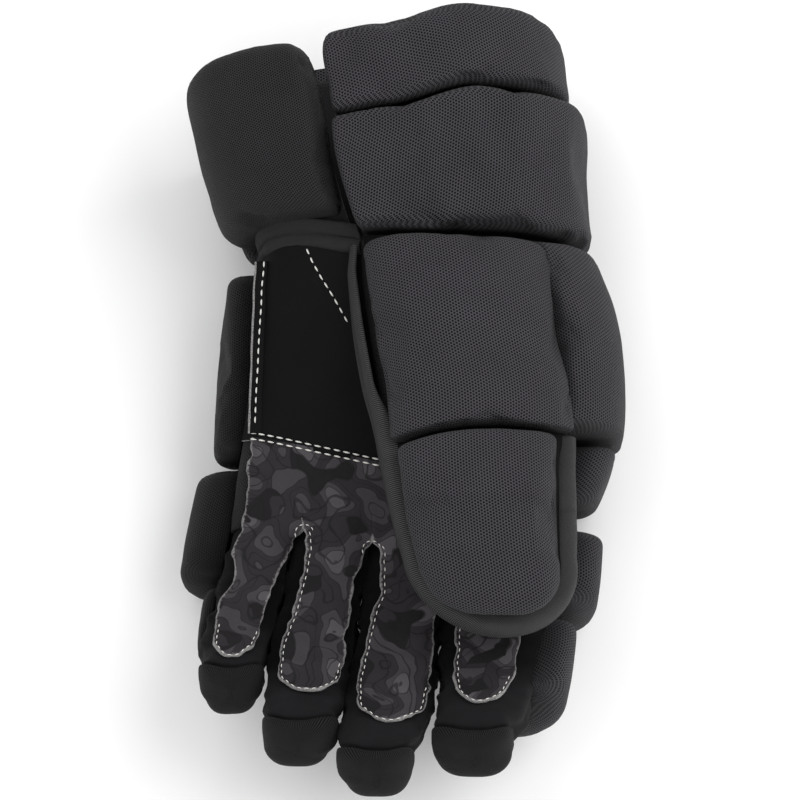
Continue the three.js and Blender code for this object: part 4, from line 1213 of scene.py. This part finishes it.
for i, sleeve in enumerate(fingers):
    f = FINGERS[i]
    strip = STRIPS[i]
    root_x, _ = finger_place(i)
    r = np.linspace(0, 1, ACROSS + 1)[None]
    half = f["width"] / 2 + WEB_GAP / 2
    left, right = root_x - half, root_x + half
    s = np.concatenate([np.linspace(0, 1, HAND_ROWS + 1), 1 + np.linspace(0, 1, FINGER_ROWS + 1)[1:]])
    s = s[:, None]
    hand_s = np.clip(s, 0, 1)
    k = np.clip(s - 1, 0, 1)
    y01 = 2 * r - 1
    # hand part, in plan
    web = lerp(*strip["joined"], r)
    x_left = left + lerp(strip.get("seam", 0), strip["drift"][0], hand_s)
    x_hand = lerp(x_left, right + strip["drift"][1] * hand_s, r)
    y_seam = -(PALM_SEAM + PALM_SEAM_SLANT * (0.5 - (x_hand - 55) / -125))
    y_end = -HAND_LENGTH - web
    # finger part
    kk = 0.7 * k
    xk = 2 * k - 1
    along = (1 + xk * np.sqrt(1 - kk * y01 * y01 / 2)) / 2
    beside = y01 * np.sqrt(1 - kk * np.maximum(xk, 0) ** 2 / 2)
    past = along * (f["strip"] * sleeve.length - web)
    y_hand = lerp(y_seam, y_end, hand_s) - np.where(s <= 1, 0, past)
    on_hand = hand_top(x_hand, y_hand, LIFT)
    t = (-HAND_LENGTH - np.where(s <= 1, y_hand, y_end - past)) / sleeve.length
    lift = PAD_GAP + 0.2 + LEATHER
    far = np.clip((t - 1) * sleeve.length, 0, 0.95 * (sleeve.tip + lift))
    bend = np.arcsin(far / (sleeve.tip + lift))
    c, ax, up, al, width, depth, power = sleeve.section(np.minimum(t, 1))
    low_x, high_x = column(strip, "left", t), column(strip, "right", t)
    place = lerp(low_x, high_x, (beside + 1) / 2)
    bulge = np.where(place < 0, column(STALLS[i], "left", t), column(STALLS[i], "right", t))
    fx = np.clip(place / (width + lift + bulge), -0.97, 0.97)
    rise = (1 - np.abs(fx) ** 3.2) ** (1 / 3.2) * np.cos(bend) ** sleeve.blunt
    on_finger = c + ax * place[..., None] + up * (rise * (depth + lift))[..., None] + al * far[..., None]
    away = np.where(s <= 1, y_end - y_hand, past) + 0 * x_hand
    joined = np.zeros_like(away)
    if i != PINKY:
        joined = joined + np.clip(1 - 2 * r, 0, 1) ** 3
    if i != INDEX:
        joined = joined + np.clip(2 * r - 1, 0, 1) ** 3
    w = smoothstep(away + web, -9, 11) * (1 - joined * (1 - smoothstep(away, 0, 5)))
    top = on_hand * (1 - w[..., None]) + on_finger * w[..., None]
    n = normals(top)
    n = n * np.sign(n[..., 2].mean())
    way = steps_of(top, 0)
    cross = steps_of(top, 1)
    wide = cross[:, -1:]
    open_side = smoothstep(away, -4, -0.5)
    shut = np.where(open_side > 0.05, 1 / np.maximum(open_side, 0.05), 99.0)
    d_left = cross if i == PINKY else cross * shut + np.where(open_side > 0.05, 0, 9)
    d_right = (wide - cross) if i == INDEX else (wide - cross) * shut + np.where(open_side > 0.05, 0, 9)
    d_end = way[-1:] - way
    edge = np.minimum(np.minimum(d_left, d_right), d_end)
    near = np.exp(-edge / 2.4)
    wob = 1.0 * noise(top, 3.4, 80 + i) + 0.6 * noise(top, 8, 85 + i)
    curl = 0.9 * noise(top, 5, 90 + i) + 0.35
    inward = np.where(r < 0.5, 1.0, -1.0)
    free = (edge < 8.5) * near
    end_bit = np.exp(-d_end / 2.4) * (d_end < 8)
    top = top + ax * (inward * wob * free * (1 - end_bit))[..., None]
    top = top + al * (-0.8 * wob * end_bit)[..., None]
    crumple = 0.45 * noise(top * [0.6, 1.4, 1], 7, 95 + i) * smoothstep(away, -20, 10)
    wave_across = 0.35 * noise(top, 16, 99)
    top = top + n * (curl * free * 0.9 + crumple + wave_across)[..., None]
    grids.append(dict(top=top, n=n, edge=edge, away=away, cross=cross, way=way, s=s))
    verts.append(top.reshape(-1, 3))
    uvs.append(np.stack([top[..., 0], way + top[0:1, :, 1] * -1], -1).reshape(-1, 2))
    edges.append(edge.ravel())
    faces.append(grid_faces(len(s), ACROSS + 1) + total)
    total += len(s) * (ACROSS + 1)

lower = make("palm_lower_cloth", np.concatenate(verts), np.concatenate(faces), np.concatenate(uvs),
             np.concatenate(edges), "printed", ["raw_edge"])
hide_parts("palm_lower")


def weld(obj, distance):
    import bmesh

    bm = bmesh.new()
    bm.from_mesh(obj.data)
    bmesh.ops.remove_doubles(bm, verts=bm.verts, dist=distance)
    bmesh.ops.recalc_face_normals(bm, faces=bm.faces)
    up = sum(face.normal.z for face in bm.faces)
    if up < 0:
        bmesh.ops.reverse_faces(bm, faces=bm.faces)
    bm.to_mesh(obj.data)
    bm.free()


weld(lower, 0.00004)
solid = lower.modifiers.new("thickness", "SOLIDIFY")
solid.thickness = LEATHER * MM
solid.offset = -1
solid.material_offset_rim = 1


# Stitches
def sample(grid, i, j):
    """Points of a grid at fractional rows and columns."""
    i = np.clip(i, 0, grid.shape[0] - 1.001)
    j = np.clip(j, 0, grid.shape[1] - 1.001)
    a, b = i.astype(int), j.astype(int)
    p, q = (i - a)[:, None], (j - b)[:, None]
    top = grid[a, b] * (1 - q) + grid[a, b + 1] * q
    low = grid[a + 1, b] * (1 - q) + grid[a + 1, b + 1] * q
    return top * (1 - p) + low * p


def stitch_run(points, normal, pitch=4.4, length=3.0, thick=0.33, sink=0.25):
    """Arched threads along a path, each one dipping into the cloth at its ends."""
    way = steps_of(points, 0)
    result = []
    for k in range(int(way[-1] / pitch)):
        at = np.linspace(k * pitch, k * pitch + length, 7)
        p = np.stack([np.interp(at, way, points[:, c]) for c in range(3)], -1)
        n = np.stack([np.interp(at, way, normal[:, c]) for c in range(3)], -1)
        n = n / np.linalg.norm(n, axis=-1, keepdims=True)
        x = np.linspace(-1, 1, 7)
        p = p + n * ((1 - x**4) * (thick + 0.1) - sink * x**4 * 1.6)[:, None]
        along = np.gradient(p, axis=0)
        along = along / np.linalg.norm(along, axis=-1, keepdims=True)
        side = np.cross(along, n)
        upward = np.cross(side, along)
        a = np.arange(6) / 6 * 2 * np.pi
        radius = thick * (1 - 0.35 * x**6)[:, None, None]
        cos, sin = np.cos(a)[None, :, None], np.sin(a)[None, :, None]
        ring = p[:, None] + radius * (side[:, None] * cos * 1.15 + upward[:, None] * sin)
        result.append(ring)
    return result


def stitch_object(name, runs, material="thread"):
    rings = [ring for run in runs for ring in run]
    points = np.concatenate([ring.reshape(-1, 3) for ring in rings])
    one = grid_faces(7, 6, wrap=True)
    faces = np.concatenate([one + k * 42 for k in range(len(rings))])
    make(name, points, faces, None, None, material)


def palm_run(pairs, lift=LIFT, count=60):
    """A run over the hand's palm side through plan points."""
    pairs = np.array(pairs, float)
    way = np.concatenate([[0], np.cumsum(np.linalg.norm(np.diff(pairs, axis=0), axis=1))])
    t = np.linspace(0, way[-1], count)
    x = np.interp(t, way, pairs[:, 0])
    y = np.interp(t, way, pairs[:, 1])
    p = hand_top(x, y, lift)
    dx = hand_top(x + 0.5, y, lift) - p
    dy = hand_top(x, y + 0.5, lift) - p
    n = np.cross(dx, dy)
    return p, n / np.linalg.norm(n, axis=-1, keepdims=True)


runs = []
for i, g in enumerate(grids):
    rows = g["top"].shape[0]
    inset = 1.9
    width_at = g["cross"][:, -1]
    row = np.arange(rows, dtype=float)
    left_col = inset / width_at * ACROSS
    last_row = np.argmax(g["way"][:, ACROSS // 2] > g["way"][-1, ACROSS // 2] - inset - 0.8)
    start_row = last_row - 16 if i == PINKY else np.argmax(g["away"][:, 0] > 1.5)
    down = row[start_row:last_row]
    across = np.linspace(left_col[last_row], ACROSS - left_col[last_row], 14)
    bow = 1.0 - ((across / ACROSS * 2 - 1) ** 2)
    back = row[last_row - 14 : last_row][::-1]
    i_path = np.concatenate([down, np.full(14, last_row) + bow * 2, back])
    j_path = np.concatenate([left_col[start_row:last_row], across, ACROSS - left_col[back.astype(int)]])
    runs.append(stitch_run(sample(g["top"], i_path, j_path), sample(g["n"], i_path, j_path),
                           pitch=3.4, length=2.1, thick=0.2))
for x, y in ((-42.6, -130), (-12.6, -137.5)):
    turn = np.radians(np.linspace(200, -20, 9))
    arc = np.stack([x + 4.2 * np.cos(turn), y + 4.2 * np.sin(turn)], -1)
    runs.append(stitch_run(*palm_run(arc, LIFT + 0.3), pitch=2.8, length=1.8, thick=0.2))
i_path = np.linspace(0, 89, 120)
j_path = lerp(2.6, 4.2, i_path / 89)
runs.append(stitch_run(sample(flange, i_path, j_path), sample(flange_n, i_path, j_path)))
diagonal = [(-41.7, -4.7), (-39, -11), (-34.6, -19), (-30.2, -26), (-24.2, -36.5), (-20.6, -42.4)]
runs.append(stitch_run(*palm_run(diagonal)))
for shift in (0.0, -2.7):
    row = [(-67, -84 + shift), (-40, -90.6 + shift), (-6, -98 + shift)]
    runs.append(stitch_run(*palm_run(row, LIFT + 0.4)))
stitch_object("palm_stitching", runs)

# Stage, light and camera
floor_mesh = bpy.data.meshes.new("floor")
floor_mesh.from_pydata([(-3, -3, 0), (3, -3, 0), (3, 3, 0), (-3, 3, 0)], [], [(0, 1, 2, 3)])
floor = bpy.data.objects.new("floor", floor_mesh)
bpy.context.scene.collection.objects.link(floor)
pale = bpy.data.materials.new("pale")
pale.use_nodes = True
pale.node_tree.nodes["Principled BSDF"].inputs["Base Color"].default_value = (0.95, 0.95, 0.95, 1)
pale.node_tree.nodes["Principled BSDF"].inputs["Roughness"].default_value = 0.9
floor_mesh.materials.append(pale)

bpy.context.scene.view_settings.view_transform = "Standard"
world = bpy.data.worlds.new("studio")
world.use_nodes = True
world.node_tree.nodes["Background"].inputs["Color"].default_value = (1, 1, 1, 1)
world.node_tree.nodes["Background"].inputs["Strength"].default_value = 0.62
bpy.context.scene.world = world


def area(name, place, aim, size, power):
    light = bpy.data.lights.new(name, "AREA")
    light.shape = "DISK"
    light.size = size
    light.energy = power
    obj = bpy.data.objects.new(name, light)
    obj.location = place
    obj.rotation_euler = (Vector(aim) - Vector(place)).to_track_quat("-Z", "Y").to_euler()
    bpy.context.scene.collection.objects.link(obj)


area("key", (1.0, 0.3, 1.3), (0, 0, 0.05), 1.5, 17)
area("fill", (-0.8, 0.6, 1.5), (0, 0, 0.05), 1.4, 9)
area("front", (0.1, -1.3, 0.8), (0, 0, 0.05), 0.8, 5)

camera = bpy.data.cameras.new("camera")
camera.lens = 200.7
camera.sensor_width = 36
camera.clip_end = 20
camera_object = bpy.data.objects.new("camera", camera)
target = (np.array([0.0, -69.0, 60.0]) + SHIFT) * MM
elevation = math.radians(78)
camera_object.location = target + 2.0 * np.array([0, -math.cos(elevation), math.sin(elevation)])
camera_object.rotation_euler = (math.radians(12), 0, 0)
bpy.context.scene.collection.objects.link(camera_object)
bpy.context.scene.camera = camera_object
